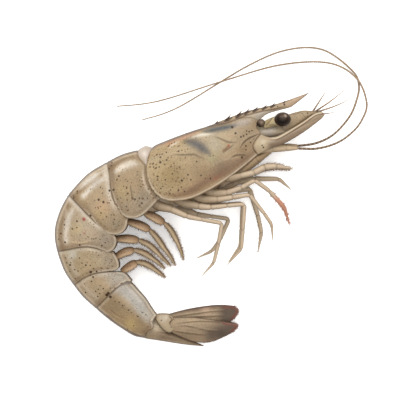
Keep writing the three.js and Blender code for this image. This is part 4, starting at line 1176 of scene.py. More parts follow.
def tail_blade(side, name, outline, ribs, offsets, half):
    """One flat ribbed blade of the tail fan with the hairs on its edges. half is its half thickness."""
    sign = SIDES[side]
    patch = Patch(*outline)

    def lateral(along, down, y):
        thick = leaf(down, half, 0.1) * mix(1.0, 0.5, along)
        return mid_height(y) + sign * mix(*offsets, along), thick

    blade = BladePlate(patch, lateral, rows=110, columns=84, power=0.5, ends=0.05)
    relief = np.zeros(blade.along.shape)
    for rib in ribs:
        relief += 0.1 * blade.near(rib, 0.28, 0.2)
        relief -= 0.08 * blade.near(np.array(rib) - (0, 0.45), 0.22, 0.2)
    blade.raise_by(relief)
    paint = blade.paint((170, 148, 122), specks=0.3)
    x, y = paint.places.T
    along, down = blade.values(blade.along), blade.values(blade.down)
    back, belly = blade.values(blade.from_back), blade.values(blade.from_belly)
    if name == "outer":
        paint.lay((188, 166, 136), 0.8 * bump(y + 37.6, 0.9) * (1 - ramp(x, -4, 3)))
        paint.lay((140, 118, 93), 0.8 * ramp(-y, 39.2, 41.5) * (1 - ramp(x, -3, 3)))
        paint.lay(DARK_BLADE, 0.9 * ramp(x, 0.0, 6.0) * (1 - 0.3 * bump(y + 38.3, 0.5)))
        paint.blot((0.6, -41.6), 2.2, (88, 71, 57), 0.85)
        paint.blot((3.2, -41.2), 2.0, (74, 59, 46), 0.85)
    else:
        paint.lay((178, 156, 130), 0.7 * bump(down - 0.75, 0.2) * (1 - ramp(x, -3, 3)))
        paint.lay((126, 102, 84), 0.8 * bump(down - 0.12, 0.14) * (1 - ramp(x, 0, 4)))
        paint.lay(DARK_BLADE, 0.9 * ramp(x, 0.8, 4.8))
        paint.blot((-1.2, -34.5), 1.7, (206, 176, 152), 0.85)
        paint.lay((76, 52, 42), 0.85 * bump(back, 0.4) * ramp(x, -10, -6))
    for rib in ribs:
        paint.stroke(rib, 0.13, (92, 70, 50), 0.85, 0.2)
        paint.stroke(np.array(rib) + (0, 0.35), 0.22, (196, 176, 148), 0.35, 0.2)
    tip = np.minimum(blade.values(blade.from_rear), back + 9 * (1 - ramp(x, 1, 4)))
    paint.lay(RUST, 0.8 * bump(tip - 0.6, 0.3) * ramp(along, 0.62, 0.82))
    paint.lay((154, 116, 102), 0.7 * bump(tip - 0.1, 0.22) * ramp(along, 0.66, 0.86))
    paint.lay((80, 60, 48), 0.75 * bump(np.minimum(back, belly), 0.2))
    shape = blade.add_to(Shape(), paint)

    def height(y):
        return mid_height(y) + sign * offsets[1]

    rear_line, back_line, belly_line = map(Line, outline[1:])
    seed = FRINGE_SEED + 7 * sign
    fringe(shape, rear_line, height, 0.13, 0.75, (140, 96, 82), seed, 1, lean=0.0, span=(0, 1), radius=0.055)
    fringe(shape, belly_line, height, 0.16, 0.6, (132, 108, 90), seed + 1, -1, lean=0.6, span=(0.55, 1))
    fringe(shape, back_line, height, 0.16, 0.35, (118, 70, 60), seed + 2, 1, lean=0.7, span=(0.7, 1))
    return shape


def telson_piece():
    """The pointed plate in the middle of the tail fan."""
    patch = Patch(*TELSON)

    def lateral(along, down, y):
        width = mix(2.4, 0.45, along)
        return mid_height(y), leaf(0.12 + 0.72 * down, width, 0.2)

    blade = BladePlate(patch, lateral, rows=90, columns=56, power=0.7, ends=0.02)
    paint = blade.paint((138, 116, 94), specks=0.3)
    x = paint.places[:, 0]
    # Painted light at the telson's front, where somite 6 shades it: a lighter front, a pale cream patch and a
    # stroke.
    upper = (214, 198, 174)
    paint.lay((176, 155, 128), 0.8 * (1 - ramp(x, -17, -13.5)))
    paint.blot((-16.2, -39.0), 1.7, upper, 0.95)
    paint.stroke(((-16.6, -38.6), (-14.8, -39.6), (-12.6, -41.0)), 0.7, upper, 0.7)
    paint.lay((160, 138, 112), 0.7 * ramp(x, -13, -8))
    paint.stroke(((-16.4, -41.0), (-13.6, -41.2), (-11.2, -42.2)), 0.16, INK, 0.6)
    paint.lay((92, 68, 52), 0.8 * bump(blade.values(blade.from_belly), 0.28) * ramp(x, -15, -11))
    paint.lay((86, 64, 50), 0.7 * bump(blade.values(blade.from_back), 0.25))
    paint.stroke(((-15.0, -43.1), (-10.0, -43.9), (-5.0, -44.6)), 0.25, (190, 168, 142), 0.6)
    return blade.add_to(Shape(), paint)


def tail_base_piece(side):
    """The short cream joint that carries one side's two blades, notched at its rear."""
    sign = SIDES[side]
    patch = Patch(*TAIL_BASE)

    def lateral(along, down, y):
        dome = 0.55 + 0.45 * np.sin(math.pi * np.clip(along, 0, 1))
        return mid_height(y) + sign * TAIL_BASE_OFFSET, 0.85 * dome * leaf(down, 1, 0.35)

    blade = BladePlate(patch, lateral, rows=60, columns=60, power=0.6, ends=0.12)
    paint = blade.paint((186, 167, 140))
    # A painted highlight on the joint's dome: a pale streak and a brighter spot.
    paint.stroke(((-15.4, -36.4), (-14.0, -36.7), (-12.8, -37.1)), 1.0, (200, 184, 164), 0.85, 0.2)
    paint.blot((-13.2, -36.4), 0.6, (228, 218, 204), 0.6)
    notch = ((-12.4, -36.0), (-11.5, -37.0), (-12.1, -38.0), (-11.2, -38.3), (-11.0, -39.2), (-12.0, -39.4))
    paint.stroke(notch, 0.15, (96, 74, 54), 0.9, 0.05)
    edges = (blade.from_front, blade.from_rear, blade.from_back, blade.from_belly)
    paint.lay((120, 98, 76), 0.7 * bump(np.min([blade.values(edge) for edge in edges], axis=0), 0.22))
    paint.dot(((-14.6, -37.3, 0.22),))
    return blade.add_to(Shape(), paint)


def build_tail(_context):
    finish = painted_finish(
        "tail_blade_shell", rough=(0.36, 0.55), mottle=0.18, coat=0.1, flesh=0.08, grain=2.2,
    )
    pale = painted_finish(
        "tail_joint_membrane", rough=(0.3, 0.45), mottle=0.08, coat=0.2, flesh=0.06, bump_depth=0.06,
    )
    telson_piece().make("telson_spike", finish, ("telson",), "tail_shell")
    blades = (
        ("outer", OUTER_BLADE, OUTER_RIBS, OUTER_OFFSETS, 0.5),
        ("inner", INNER_BLADE, INNER_RIBS, INNER_OFFSETS, 0.4),
    )
    for side in SIDES:
        for name, *form in blades:
            blade = tail_blade(side, name, *form)
            blade.make(f"tail_{name}_fan_{side}", finish, (f"tail_{name}_blade_{side}",), "tail_shell")
        tail_base_piece(side).make(f"tail_joint_{side}", pale, (f"tail_base_{side}",), "membrane")


# ---- Limbs ----

KNEE_CUT = 1.2
KNEE_STEPS = 8
JAW_FOOT = ((5.4, 5.2, 1.5), (9.6, 7.6, 1.7), (14.0, 10.9, 1.7), (18.4, 13.6, 1.5))
JAW_FOOT_RADII = (1.0, 1.4, 1.35, 0.5)
# Each leg's joints, as x, y and the height above the middle plane on its own side, and its radii at them.
LEGS = (
    {
        "right": (
            (5.6, 5.2, 3.3), (9.0, 6.0, 3.4), (13.2, 7.0, 3.3), (16.3, 8.7, 3.0), (19.6, 9.0, 2.6),
            (24.7, 8.2, 2.0),
        ),
        "left": (
            (5.2, 4.8, 3.0), (8.8, 5.7, 3.8), (13.0, 6.8, 4.5), (16.2, 8.4, 5.0), (19.4, 8.8, 5.3),
            (24.2, 8.0, 5.8),
        ),
        "radii": (0.85, 0.75, 0.85, 0.95, 0.8, 0.14),
    },
    {
        "right": (
            (0.9, 0.8, 2.6), (5.1, 0.9, 3.0), (9.4, 2.5, 3.5), (13.3, 4.7, 4.0), (17.7, 1.5, 3.2),
            (22.2, -3.4, 1.6), (23.9, -8.6, 0.0),
        ),
        "left": ((4.2, 2.9, 2.6), (8.4, 4.3, 3.2), (13.3, 5.2, 4.2), (20.9, 5.2, 5.2), (24.6, 1.9, 5.8)),
        "radii": (0.95, 0.8, 0.7, 0.6, 0.6, 0.65, 0.12),
    },
    {
        "right": (
            (-2.4, -0.9, 2.6), (2.2, -1.1, 2.9), (6.8, -0.4, 3.4), (11.7, 0.4, 3.8), (16.4, -5.5, 2.8),
            (18.5, -8.6, 1.8), (18.8, -13.5, 0.2),
        ),
        "left": (
            (1.6, 1.0, 2.6), (7.8, 1.8, 3.2), (11.9, 2.2, 4.0), (14.5, -6.0, 5.0), (15.6, -11.1, 5.6),
            (14.5, -17.1, 6.1),
        ),
        "radii": (0.95, 0.8, 0.7, 0.6, 0.55, 0.5, 0.1),
    },
    {
        "right": (
            (-8.3, -1.9, 2.6), (-3.1, -3.1, 2.8), (0.1, -3.4, 3.0), (5.1, -2.9, 3.6), (10.3, -2.4, 4.2),
            (9.8, -10.3, 3.2), (9.4, -15.8, 2.2), (5.0, -20.9, 0.4),
        ),
        "left": (
            (-8.0, -1.8, 2.6), (-2.9, -2.7, 3.0), (0.4, -2.9, 3.2), (5.3, -2.5, 3.8), (9.9, -2.2, 4.4),
            (9.5, -10.0, 5.2), (9.2, -15.2, 5.6), (5.6, -20.0, 6.1),
        ),
        "radii": (1.0, 0.85, 0.7, 0.6, 0.6, 0.55, 0.5, 0.1),
    },
    {
        "right": (
            (-15.4, -2.9, 2.6), (-11.6, -3.9, 2.8), (-6.8, -6.1, 3.2), (-2.6, -7.0, 3.6), (3.6, -8.1, 4.2),
            (2.5, -14.3, 3.2), (1.1, -20.0, 2.4), (-2.6, -24.1, 0.6),
        ),
        "left": (
            (-12.4, -2.6, 2.6), (-6.6, -4.5, 3.2), (-4.2, -5.5, 3.6), (0.1, -6.1, 4.2), (5.8, -6.9, 4.8),
            (3.0, -13.3, 5.3), (0.7, -16.6, 5.6), (-4.2, -18.9, 6.1),
        ),
        "radii": (1.05, 0.9, 0.7, 0.6, 0.6, 0.55, 0.5, 0.1),
    },
)
LEG_CREAM = (203, 183, 161)
LEG_EDGE = (124, 101, 79)
# The far side's legs: the near legs' colour made a little darker, as painted shade.
FAR_LEG = (196, 177, 153)
# Darker brown for the legs' roots, as painted shade where they come out under the carapace; also the
# underside's ground colour.
LEG_ROOT = (168, 147, 122)
RUSSET = (204, 142, 119)
ROOT_SPREAD = (1.6, 1.45, 1.22, 1.1)
# Bristles of the legs: leg, side, stretch before the tip in joints, colour, length, spacing and seed.
LEG_BRISTLES = (
    (0, "right", 2.2, (150, 120, 90), 0.9, 0.16, 7),
    (0, "left", 2.2, (150, 120, 90), 0.9, 0.16, 5),
    (1, "right", 1.9, (196, 126, 100), 1.0, 0.14, 5),
    (2, "left", 2.5, (110, 96, 76), 0.5, 0.25, 8),
)
RED_LEG = (1, "right")
# Front, rear, back and belly edges of the underside that the legs come out of.
UNDERSIDE = (
    ((7.6, 8.4), (8.6, 5.6)),
    ((-15.2, 1.6), (-18.2, -2.0), (-19.8, -6.0)),
    ((7.6, 8.4), (-1.0, 4.4), (-9.0, 2.2), (-15.2, 1.6)),
    ((8.6, 5.6), (4.7, 3.0), (-0.7, 0.0), (-6.0, -2.1), (-13.6, -4.1), (-19.8, -6.0)),
)
UNDERSIDE_RIBS = 5.5


def jointed_path(joints, step=0.3):
    """Points along straight pieces with rounded joints, and where each lies, counted in joints."""
    joints = np.asarray(joints, float)
    points, places = [], []
    start, begun = joints[0], 0.0
    for i in range(1, len(joints) - 1):
        before, after = joints[i - 1] - joints[i], joints[i + 1] - joints[i]
        lengths = np.linalg.norm(before), np.linalg.norm(after)
        cut = min(KNEE_CUT, 0.45 * lengths[0], 0.45 * lengths[1])
        enter = joints[i] + before / lengths[0] * cut
        leave = joints[i] + after / lengths[1] * cut
        entered, left = i - cut / lengths[0], i + cut / lengths[1]
        count = max(2, int(np.linalg.norm(enter - start) / step))
        t = np.linspace(0, 1, count, endpoint=False)[:, None]
        points.append(mix(start, enter, t))
        places.append(mix(begun, entered, t[:, 0]))
        t = np.linspace(0, 1, KNEE_STEPS, endpoint=False)[:, None]
        points.append((1 - t) ** 2 * enter + 2 * t * (1 - t) * joints[i] + t**2 * leave)
        places.append(mix(entered, left, t[:, 0]))
        start, begun = leave, left
    count = max(3, int(np.linalg.norm(joints[-1] - start) / step))
    t = np.linspace(0, 1, count)[:, None]
    points.append(mix(start, joints[-1], t))
    places.append(mix(begun, len(joints) - 1, t[:, 0]))
    return np.concatenate(points), np.concatenate(places)


def limb_rings(path, radii, sides, breadth=1.0):
    """Rings of points round a path. Returns them and the angle of each column, 90 degrees being upwards."""
    tangent = np.gradient(path, axis=0)
    tangent /= np.linalg.norm(tangent, axis=1, keepdims=True)
    up = np.array([0.0, 0.0, 1.0])
    lateral = up - tangent * tangent[:, 2:3]
    lateral /= np.linalg.norm(lateral, axis=1, keepdims=True)
    sideways = np.cross(lateral, tangent)
    turn = np.linspace(0, 2 * math.pi, sides, endpoint=False)
    radii = np.asarray(radii)[:, None, None]
    breadth = np.broadcast_to(breadth, (len(path),))[:, None, None]
    rings = path[:, None] + sideways[:, None] * np.cos(turn)[:, None] * radii
    return rings + lateral[:, None] * np.sin(turn)[:, None] * radii * breadth, turn


def add_leg(shape, joints, radii, colour, sides=18, tip_colour=None, dark=LEG_EDGE, swell=0.06, root=None):
    """One jointed leg: each segment swells a little and narrows into its joints."""
    path, place = jointed_path(joints)
    last = len(joints) - 1
    radii = np.array([*radii[:last], radii[-1]])
    share = place - np.floor(np.clip(place, 0, last - 0.001))
    length = np.linalg.norm(np.diff(joints, axis=0), axis=1)
    piece = np.minimum(np.floor(place).astype(int), last - 1)
    # Distance to the nearest joint, where the leg's two ends don't count.
    to_joint = np.minimum(share + (piece == 0) * 9, 1 - share + (piece == last - 1) * 9) * length[piece]
    radius = np.interp(place, np.arange(len(joints)), radii)
    knuckle = ramp(place, 1.0, 3.0)
    waist = knuckle * (0.13 * bump(to_joint, 0.28) - 0.08 * bump(to_joint - 0.6, 0.35))
    radius = np.maximum(radius * (1 + swell * np.sin(math.pi * share) - waist), 0.06)
    rings, turn = limb_rings(path, radius, sides)
    lit, crease = np.array(colour) * 1.1, np.array(dark) * 0.9

    def paint_leg(points, row, column):
        paint = Paint(points, colour, 0.3)
        angle = turn[column]
        # Painted light on the leg's upper side.
        paint.lay(lit, 0.7 * np.clip(np.sin(angle + 0.5), 0, 1) ** 2)
        # Painted shade at the root, where the leg comes out from under the carapace's edge.
        if root is not None:
            paint.lay(root, 0.9 * (1 - ramp(place[row], 1.0, 2.8)))
        # Painted shade along both sides, seen from above.
        paint.lay(dark, 0.75 * np.abs(np.cos(angle)) ** 5)
        paint.lay(crease, (0.25 + 0.25 * knuckle[row]) * bump(to_joint[row], 0.15))
        if tip_colour is not None:
            paint.lay(tip_colour, 0.9 * ramp(place[row], last - 1.9, last - 1.3))
        return paint

    add_tube(shape, rings, paint_leg)
    return path, place, radius


def leg_bristles(shape, made, span, colour, length, spacing, seed):
    """Short bristles down both edges of the stretch of a made leg between two places."""
    path, place, radius = made
    draw = np.random.default_rng(seed)
    inside = (place >= span[0]) & (place <= span[1])
    track, thick = path[inside], radius[inside]
    run = np.concatenate([[0], np.cumsum(np.linalg.norm(np.diff(track, axis=0), axis=1))])
    at = np.sort(draw.uniform(0, run[-1], max(4, int(run[-1] / spacing)) * 2))
    roots, ahead = (
        np.stack([np.interp(at + step, run, track[:, k]) for k in range(3)], -1) for step in (0, 0.2)
    )
    heading = ahead - roots
    heading[-3:] = heading[-4]
    heading /= np.maximum(np.linalg.norm(heading, axis=1, keepdims=True), 1e-6)
    edge = np.where(np.arange(len(at)) % 2 == 0, 1.0, -1.0)[:, None]
    side = np.cross(heading, (0.0, 0.0, 1.0)) * edge
    roots = roots + side * np.interp(at, run, thick)[:, None] * 0.8
    directions = side + heading * draw.uniform(0.5, 1.3, (len(at), 1))
    directions[:, 2] += draw.uniform(-0.2, 0.3, len(at))
    add_hairs(shape, roots, directions, length * draw.uniform(0.6, 1.2, len(at)), colour, 0.055)


def build_legs(_context):
    look = {"rough": (0.36, 0.52), "coat": 0.12, "flesh": 0.05, "bump_depth": 0.08, "grain": 2.4}
    finish = painted_finish("leg_shell", mottle=0.1, **look)
    red_finish = painted_finish("red_leg_shell", mottle=0.14, **look)
    for side, sign in SIDES.items():
        shape = Shape()
        joints = [(x, y, MID_HEIGHT + sign * out) for x, y, out in JAW_FOOT]
        made = add_leg(shape, joints, JAW_FOOT_RADII, (158, 134, 104), sides=24, dark=UMBER, swell=0.0)
        leg_bristles(shape, made, (1.0, 3.0), (110, 88, 66), 0.5, 0.3, 11 + sign)
        shape.make(f"jaw_foot_{side}", finish, (f"maxilliped_{side}",), "leg_shell")
        for i, leg in enumerate(LEGS):
            shape = Shape()
            (x0, y0, out0), (x1, y1, _) = leg[side][:2]
            root = (x0 - 0.5 * (x1 - x0) - 0.6, y0 - 0.5 * (y1 - y0) + 1.6, out0 - 0.4)
            joints = [(x, y, MID_HEIGHT + sign * out) for x, y, out in (root, *leg[side])]
            radii = np.array([leg["radii"][0], *leg["radii"]])
            radii[: len(ROOT_SPREAD)] *= ROOT_SPREAD
            red = (i, side) == RED_LEG
            colour = LEG_CREAM if side == "right" else FAR_LEG
            made = add_leg(shape, joints, radii, colour, tip_colour=RUSSET if red else None, root=LEG_ROOT)
            last = len(joints) - 1
            for number, where, stretch, *hairs in LEG_BRISTLES:
                if (number, where) == (i, side):
                    leg_bristles(shape, made, (last - stretch, last), *hairs)
            slot = "red_leg_shell" if red else "leg_shell"
            node = f"leg_{i + 1}_{side}"
            shape.make(f"walking_{node}", red_finish if red else finish, (node,), slot)
    build_thorax_underside()


def build_thorax_underside():
    """The ribbed underside that the legs come out of."""
    wave = 2 * math.pi * UNDERSIDE_RIBS

    def lateral(along, down, y):
        half = mix(3.9, 2.8, down) * np.sqrt(np.clip(1 - (2 * down - 1) ** 8, 0, 1))
        return np.full_like(y, MID_HEIGHT), half + 0.12 * np.sin(along * wave)

    blade = BladePlate(Patch(*UNDERSIDE), lateral, rows=90, columns=60, power=0.35, ends=0.03)
    paint = blade.paint(LEG_ROOT, specks=0.2)
    x = paint.places[:, 0]
    between_roots = 0.5 + 0.5 * np.sin(blade.values(blade.along) * wave)
    # Darker bands between the legs' roots, as painted shade.
    paint.lay((118, 95, 74), between_roots**3 * (1 - ramp(-x, 10, 14)))
    paint.lay((190, 171, 148), 0.8 * ramp(-x, 10, 15))
    paint.lay((104, 84, 68), 0.6 * bump(blade.values(blade.from_belly), 0.3))
    finish = painted_finish(
        "underside_membrane", rough=(0.3, 0.46), mottle=0.12, coat=0.15, flesh=0.06, bump_depth=0.1,
    )
    shape = blade.add_to(Shape(), paint)
    shape.make("thorax_underside_skin", finish, ("thorax_underside",), "membrane")


# Joints of the swimming legs: the first three are the base's, the last five the blade's.
PLEOPODS = (
    (
        (-19.6, -5.0), (-16.4, -6.5), (-13.6, -8.2),
        (-11.9, -10.0), (-10.0, -13.3), (-8.7, -16.4), (-7.9, -19.4),
    ),
    (
        (-24.6, -7.6), (-21.0, -8.7), (-17.9, -10.3),
        (-15.8, -12.7), (-13.9, -15.4), (-11.9, -18.1), (-10.3, -21.0),
    ),
    (
        (-28.4, -12.8), (-24.8, -12.8), (-21.2, -13.3),
        (-18.1, -14.8), (-15.8, -16.9), (-13.9, -18.9), (-11.6, -21.1),
    ),
    (
        (-28.4, -18.4), (-25.5, -16.8), (-22.6, -16.2),
        (-19.6, -17.2), (-16.7, -19.1), (-14.8, -20.6), (-13.5, -21.9),
    ),
    (
        (-26.4, -22.6), (-24.0, -21.0), (-21.8, -19.8),
        (-19.2, -20.4), (-16.7, -21.9), (-14.6, -23.5), (-13.3, -24.6),
    ),
)
PLEOPOD_OFFSETS = (2.1, 2.3, 2.5, 2.7, 2.8, 2.9, 3.0)
PLEOPOD_BROWN = (168, 136, 106)
PLEOPOD_TAN = (160, 136, 108)
# Radii of a swimming leg's base and blade, each with the shares of its length at which they are.
BASE_RADII = ((0, 0.2, 0.45, 0.68, 0.82, 0.91, 0.97, 1.0), (0.9, 1.12, 1.26, 1.28, 1.18, 0.95, 0.62, 0.2))
BLADE_RADII = (
    (0, 0.06, 0.2, 0.38, 0.5, 0.57, 0.72, 0.88, 1.0), (0.45, 0.66, 0.8, 0.82, 0.74, 0.58, 0.53, 0.36, 0.05),
)
SWIMMING_HAIR_SPACING = 0.2
BLADE_SEED = 40
BASE_SEED = 90


def add_pleopod_part(shape, joints, radii, breadth, ground, light, dark, glint):
    """A base or a blade of a swimming leg, with a painted highlight streak at the angle glint round it and
    painted shade along its upper edge.
    """
    line = Line(joints)
    share = np.linspace(0, 1, max(24, int(line.length / 0.16)))
    radius = np.interp(share, *radii)
    rings, turn = limb_rings(line.at(share), np.maximum(radius, 0.05), 22, breadth)
    edge = np.array(dark) * 0.8

    def paint_part(points, row, column):
        paint = Paint(points, ground, 0.45)
        angle = turn[column]
        # Darker along the upper edge: its browner colour there, with painted shade.
        paint.lay(dark, 0.55 * np.clip(np.cos(angle - 0.45), 0, 1) ** 2)
        # A painted highlight streak at the angle glint.
        gleam = np.clip(np.cos(angle - glint), 0, 1) ** 6 * np.sin(math.pi * share[row]) ** 0.5
        paint.lay(light, 0.92 * gleam)
        paint.lay(edge, 0.65 * np.abs(np.cos(angle)) ** 10)
        paint.lay(edge, 0.6 * bump((1 - share[row]) * line.length, 0.2))
        return paint

    add_tube(shape, rings, paint_part)
    return line, share, radius


def build_swimming_legs(_context):
    finish = painted_finish(
        "swimming_leg_shell", rough=(0.38, 0.55), coat=0.1, flesh=0.1, bump_depth=0.1, grain=2.2,
    )
    for side, sign in SIDES.items():
        # The far side's swimming legs painted darker, as painted shade.
        far_side_shade = 1.0 if side == "right" else 0.85
        for i, points in enumerate(PLEOPODS):
            joints = [(x, y, mid_height(y) + sign * out) for (x, y), out in zip(points, PLEOPOD_OFFSETS)]
            shape = Shape()
            brown, tan = np.array(PLEOPOD_BROWN) * far_side_shade, np.array(PLEOPOD_TAN) * far_side_shade
            # Colours of the painted highlight and of the painted shade and outline, and the highlight's
            # angle: for the base here, for the blade below.
            look = ((250, 218, 182), (104, 80, 60), 2.38)
            base, *_ = add_pleopod_part(shape, joints[:3], BASE_RADII, 1.1, brown, *look)
            overlap = mix(np.array(joints[2]), np.array(joints[1]), 0.12)
            look = ((204, 184, 154), (110, 87, 64), 1.75)
            blade, share, radius = add_pleopod_part(
                shape, [overlap, *joints[2:]], BLADE_RADII, 0.75, tan, *look,
            )
            add_swimming_hairs(shape, blade, share, radius, (1, -1), BLADE_SEED + 7 * i + sign)
            radius = np.interp(share, *BASE_RADII)
            add_swimming_hairs(shape, base, share, radius, (-1,), BASE_SEED + 7 * i + sign)
            node = f"pleopod_{i + 1}_{side}"
            shape.make(f"swimming_leg_{i + 1}_{side}", finish, (node,), "swimming_leg_shell")


def add_swimming_hairs(shape, line, share, radius, edges, seed):
    """The fine fringe of a swimming leg along the given edges: 1 is the upper one, -1 the lower."""
    draw = np.random.default_rng(seed)
    count = int(line.length / SWIMMING_HAIR_SPACING)
    for edge in edges:
        at = np.linspace(0.06, 0.98, count) + draw.uniform(-0.4, 0.4, count) / count
        roots = line.at(at)
        heading = line.at(at + 0.02) - roots
        heading /= np.linalg.norm(heading, axis=1, keepdims=True)
        side = np.cross(heading, (0.0, 0.0, 1.0)) * -edge
        roots = roots + side * (np.interp(at, share, radius) * 0.85)[:, None]
        directions = side + heading * draw.uniform(0.5, 1.2, (count, 1))
        directions[:, 2] = draw.uniform(-0.25, 0.25, count)
        length = 1.15 * draw.uniform(0.5, 1.2, count) * np.clip(1.15 - 0.4 * at, 0.4, 1)
        add_hairs(shape, roots, directions, length, (160, 130, 104), 0.05)


# ---- Head ----

EYE_PLACE = (21.6, 22.85)
EYE_RADII = (2.5, 2.15, 1.95)
EYE_OFFSET = 4.45
EYE_TURN = 0.1
BEAD_RADII = (1.35, 1.2, 1.05)
BEAD_SHIFT = 0.3
BEAD_TURN = 0.5
EYESTALK = ((16.6, 21.2, 2.5), (18.2, 21.9, 2.9), (20.4, 22.5, 3.2))
# Outlines of the head's pieces: front, rear, back and belly edges.
HEAD_CORE = (
    ((23.0, 21.2), (22.6, 17.4)),
    ((14.4, 21.7), (13.5, 20.8), (13.8, 18.9), (13.0, 16.6), (13.3, 15.2)),
    ((23.0, 21.2), (18.2, 22.4), (14.4, 21.7)),
    ((22.6, 17.4), (18.0, 16.0), (13.3, 15.2)),
)
ANTENNULE = (
    ((31.6, 25.3), (31.8, 24.4)),
    ((22.3, 24.0), (21.4, 21.4), (22.0, 18.2)),
    ((31.6, 25.3), (28.1, 25.6), (24.6, 24.8), (22.3, 24.0)),
    ((31.8, 24.4), (27.9, 21.7), (22.0, 18.2)),
)
SCALE = (
    ((33.3, 25.2), (34.2, 24.4), (33.5, 23.2)),
    ((15.2, 18.5), (13.6, 16.7), (12.8, 14.6), (14.3, 12.3)),
    ((33.3, 25.2), (31.0, 24.5), (27.2, 21.8), (20.6, 17.9), (17.6, 17.6), (15.2, 18.5)),
    ((33.5, 23.2), (28.5, 19.4), (22.8, 16.0), (17.6, 14.0), (14.3, 12.3)),
)
ANTENNULE_OFFSET = 1.25
SCALE_OFFSET = 3.45
ANTENNA_BASE_OFFSET = 1.4
SCALE_RIDGE = ((17.4, 16.9), (22.0, 18.6), (27.5, 21.4), (33.4, 24.4))
ANTENNULE_SPOTS = (
    (29.2, 24.8, 0.24), (27.6, 24.7, 0.18), (25.4, 23.9, 0.16), (26.0, 23.3, 0.14), (28.0, 24.2, 0.14),
)
WHISKERS = {
    "right": (
        ((31.2, 25.1), (35.4, 27.9), (38.4, 30.2), (40.7, 32.3)),
        ((31.2, 24.9), (36.5, 26.6), (40.0, 28.1), (42.3, 29.5)),
    ),
    "left": (
        ((30.8, 25.2), (33.1, 28.8), (35.2, 32.0)),
        ((31.2, 24.9), (34.2, 24.7), (37.5, 25.2)),
    ),
}
ANTENNA_BASE = {
    "right": ((14.9, 13.6), (18.7, 14.3), (22.8, 14.4), (26.2, 14.3)),
    "left": ((14.9, 13.6), (18.7, 14.4), (22.8, 14.8), (26.2, 15.1)),
}
FLAGELLA = {
    "right": (
        (25.6, 14.3, 8.0), (31.9, 14.2, 7.4), (38.0, 15.9, 6.3), (42.6, 19.0, 5.0), (45.7, 22.8, 3.8),
        (47.3, 28.2, 2.7), (44.1, 35.8, 1.9), (35.7, 40.3, 1.0), (21.2, 39.7, 0.5), (4.3, 34.9, 1.1),
        (-15.5, 28.8, 0.4), (-28.2, 27.2, 0.2),
    ),
    "left": (
        (25.6, 15.0, 5.2), (31.9, 15.9, 4.5), (37.3, 18.6, 3.4), (41.9, 23.6, 2.1), (44.1, 28.2, 1.2),
        (45.1, 33.5, 0.6), (43.0, 38.1, 0.45), (34.2, 44.3, 0.4), (23.5, 44.3, 0.4), (11.2, 39.3, 0.3),
        (-9.4, 27.0, 0.25), (-20.5, 23.1, 0.2),
    ),
}
FLAGELLUM_RADII = (0.37, 0.32, 0.29, 0.26, 0.24, 0.21, 0.16)


def ball_rings(centre, radii, turn, rows, columns, dent=0.0):
    """A smooth ball with its poles along Z, as rings from below to above, with fine facets pressed in."""
    tilt = np.linspace(-math.pi / 2, math.pi / 2, rows + 2)[1:-1][:, None]
    around = np.linspace(0, 2 * math.pi, columns, endpoint=False)[None]
    facets = 1 - dent * (0.5 + 0.5 * np.cos(around * 36) * np.cos(tilt * 44)) * np.cos(tilt) ** 2
    x = np.cos(tilt) * np.cos(around) * radii[0] * facets
    y = np.cos(tilt) * np.sin(around) * radii[1] * facets
    z = np.broadcast_to(np.sin(tilt), x.shape) * radii[2] * facets
    cos, sin = math.cos(turn), math.sin(turn)
    return np.stack([x * cos - y * sin, x * sin + y * cos, z], -1) + np.asarray(centre)


def eye_finish(name, bright):
    """Black-brown glass with soft painted glints of the colour bright and a faint honeycomb under a clear
    coat.
    """
    finish = Finish(name)
    place = finish.attribute("skin", "Vector")
    cells = finish.voronoi(place, 7.0)
    cloud = finish.noise(place, 0.7, 3.0)
    glint = finish.between(cloud, 0.45, 0.8, 0.0, 0.35)
    colour = finish.blend(finish.attribute("tint", "Color"), rgba(bright), glint)
    finish.link(colour, finish.surface.inputs["Base Color"])
    finish.rough(cloud, 0.24, 0.36)
    finish.relief(cells["Distance"], 0.25, 0.05)
    return finish.set(Coat_Weight=0.12, Coat_Roughness=0.08, Specular_IOR_Level=0.08)


def paint_eye(points, centre):
    paint = Paint(points, (34, 20, 11))
    x, y = (paint.places - centre[:2]).T
    # Painted highlights on the upper part: a soft brownish patch and a pale streak.
    paint.lay((112, 92, 78), 0.85 * bump(y - 1.0, 1.0) * bump(x - 0.4, 1.5))
    paint.stroke(centre[:2] + np.array(((0.4, 1.5), (0.8, 1.0), (0.9, 0.4))), 0.35, (190, 182, 176), 0.85)
    # Painted shade on the lower part.
    paint.lay((18, 9, 4), 0.9 * bump(y + 0.9, 0.7) * bump(x + 0.3, 1.3))
    paint.lay((76, 55, 42), 0.6 * bump(np.hypot(x, y) - 2.0, 0.2))
    return paint


def paint_bead(points, centre):
    paint = Paint(points, (92, 74, 60))
    # A painted highlight.
    paint.blot(centre[:2] + np.array((0.0, 0.2)), 0.55, (158, 142, 128), 0.8)
    x, y = (paint.places - centre[:2]).T
    # Painted shade towards the lower left.
    paint.lay((34, 22, 12), 0.9 * ramp(-x - y, 0.6, 1.6))
    return paint


def build_eyes():
    glass = eye_finish("eye_glass", (48, 34, 25))
    horn = eye_finish("bead_glass", (96, 78, 64))
    for side, sign in SIDES.items():
        centre = np.array((*EYE_PLACE, MID_HEIGHT + sign * EYE_OFFSET))
        rings = ball_rings(centre, np.array(EYE_RADII) - 0.02, EYE_TURN, rows=56, columns=72, dent=0.004)
        shape = Shape()
        add_tube(shape, rings, lambda points, *_: paint_eye(points, centre))
        shape.make(f"eye_cornea_{side}", glass, (f"eye_{side}",), "eye")
        centre = np.array((*BEAD_PLACE, MID_HEIGHT + sign * BEAD_OFFSET))
        rings = ball_rings(centre - (BEAD_SHIFT, 0, 0), BEAD_RADII, BEAD_TURN, rows=30, columns=40)
        shape = Shape()
        add_tube(shape, rings, lambda points, *_: paint_bead(points, centre))
        shape.make(f"orbit_pearl_{side}", horn, (f"orbit_bead_{side}",), "eye")


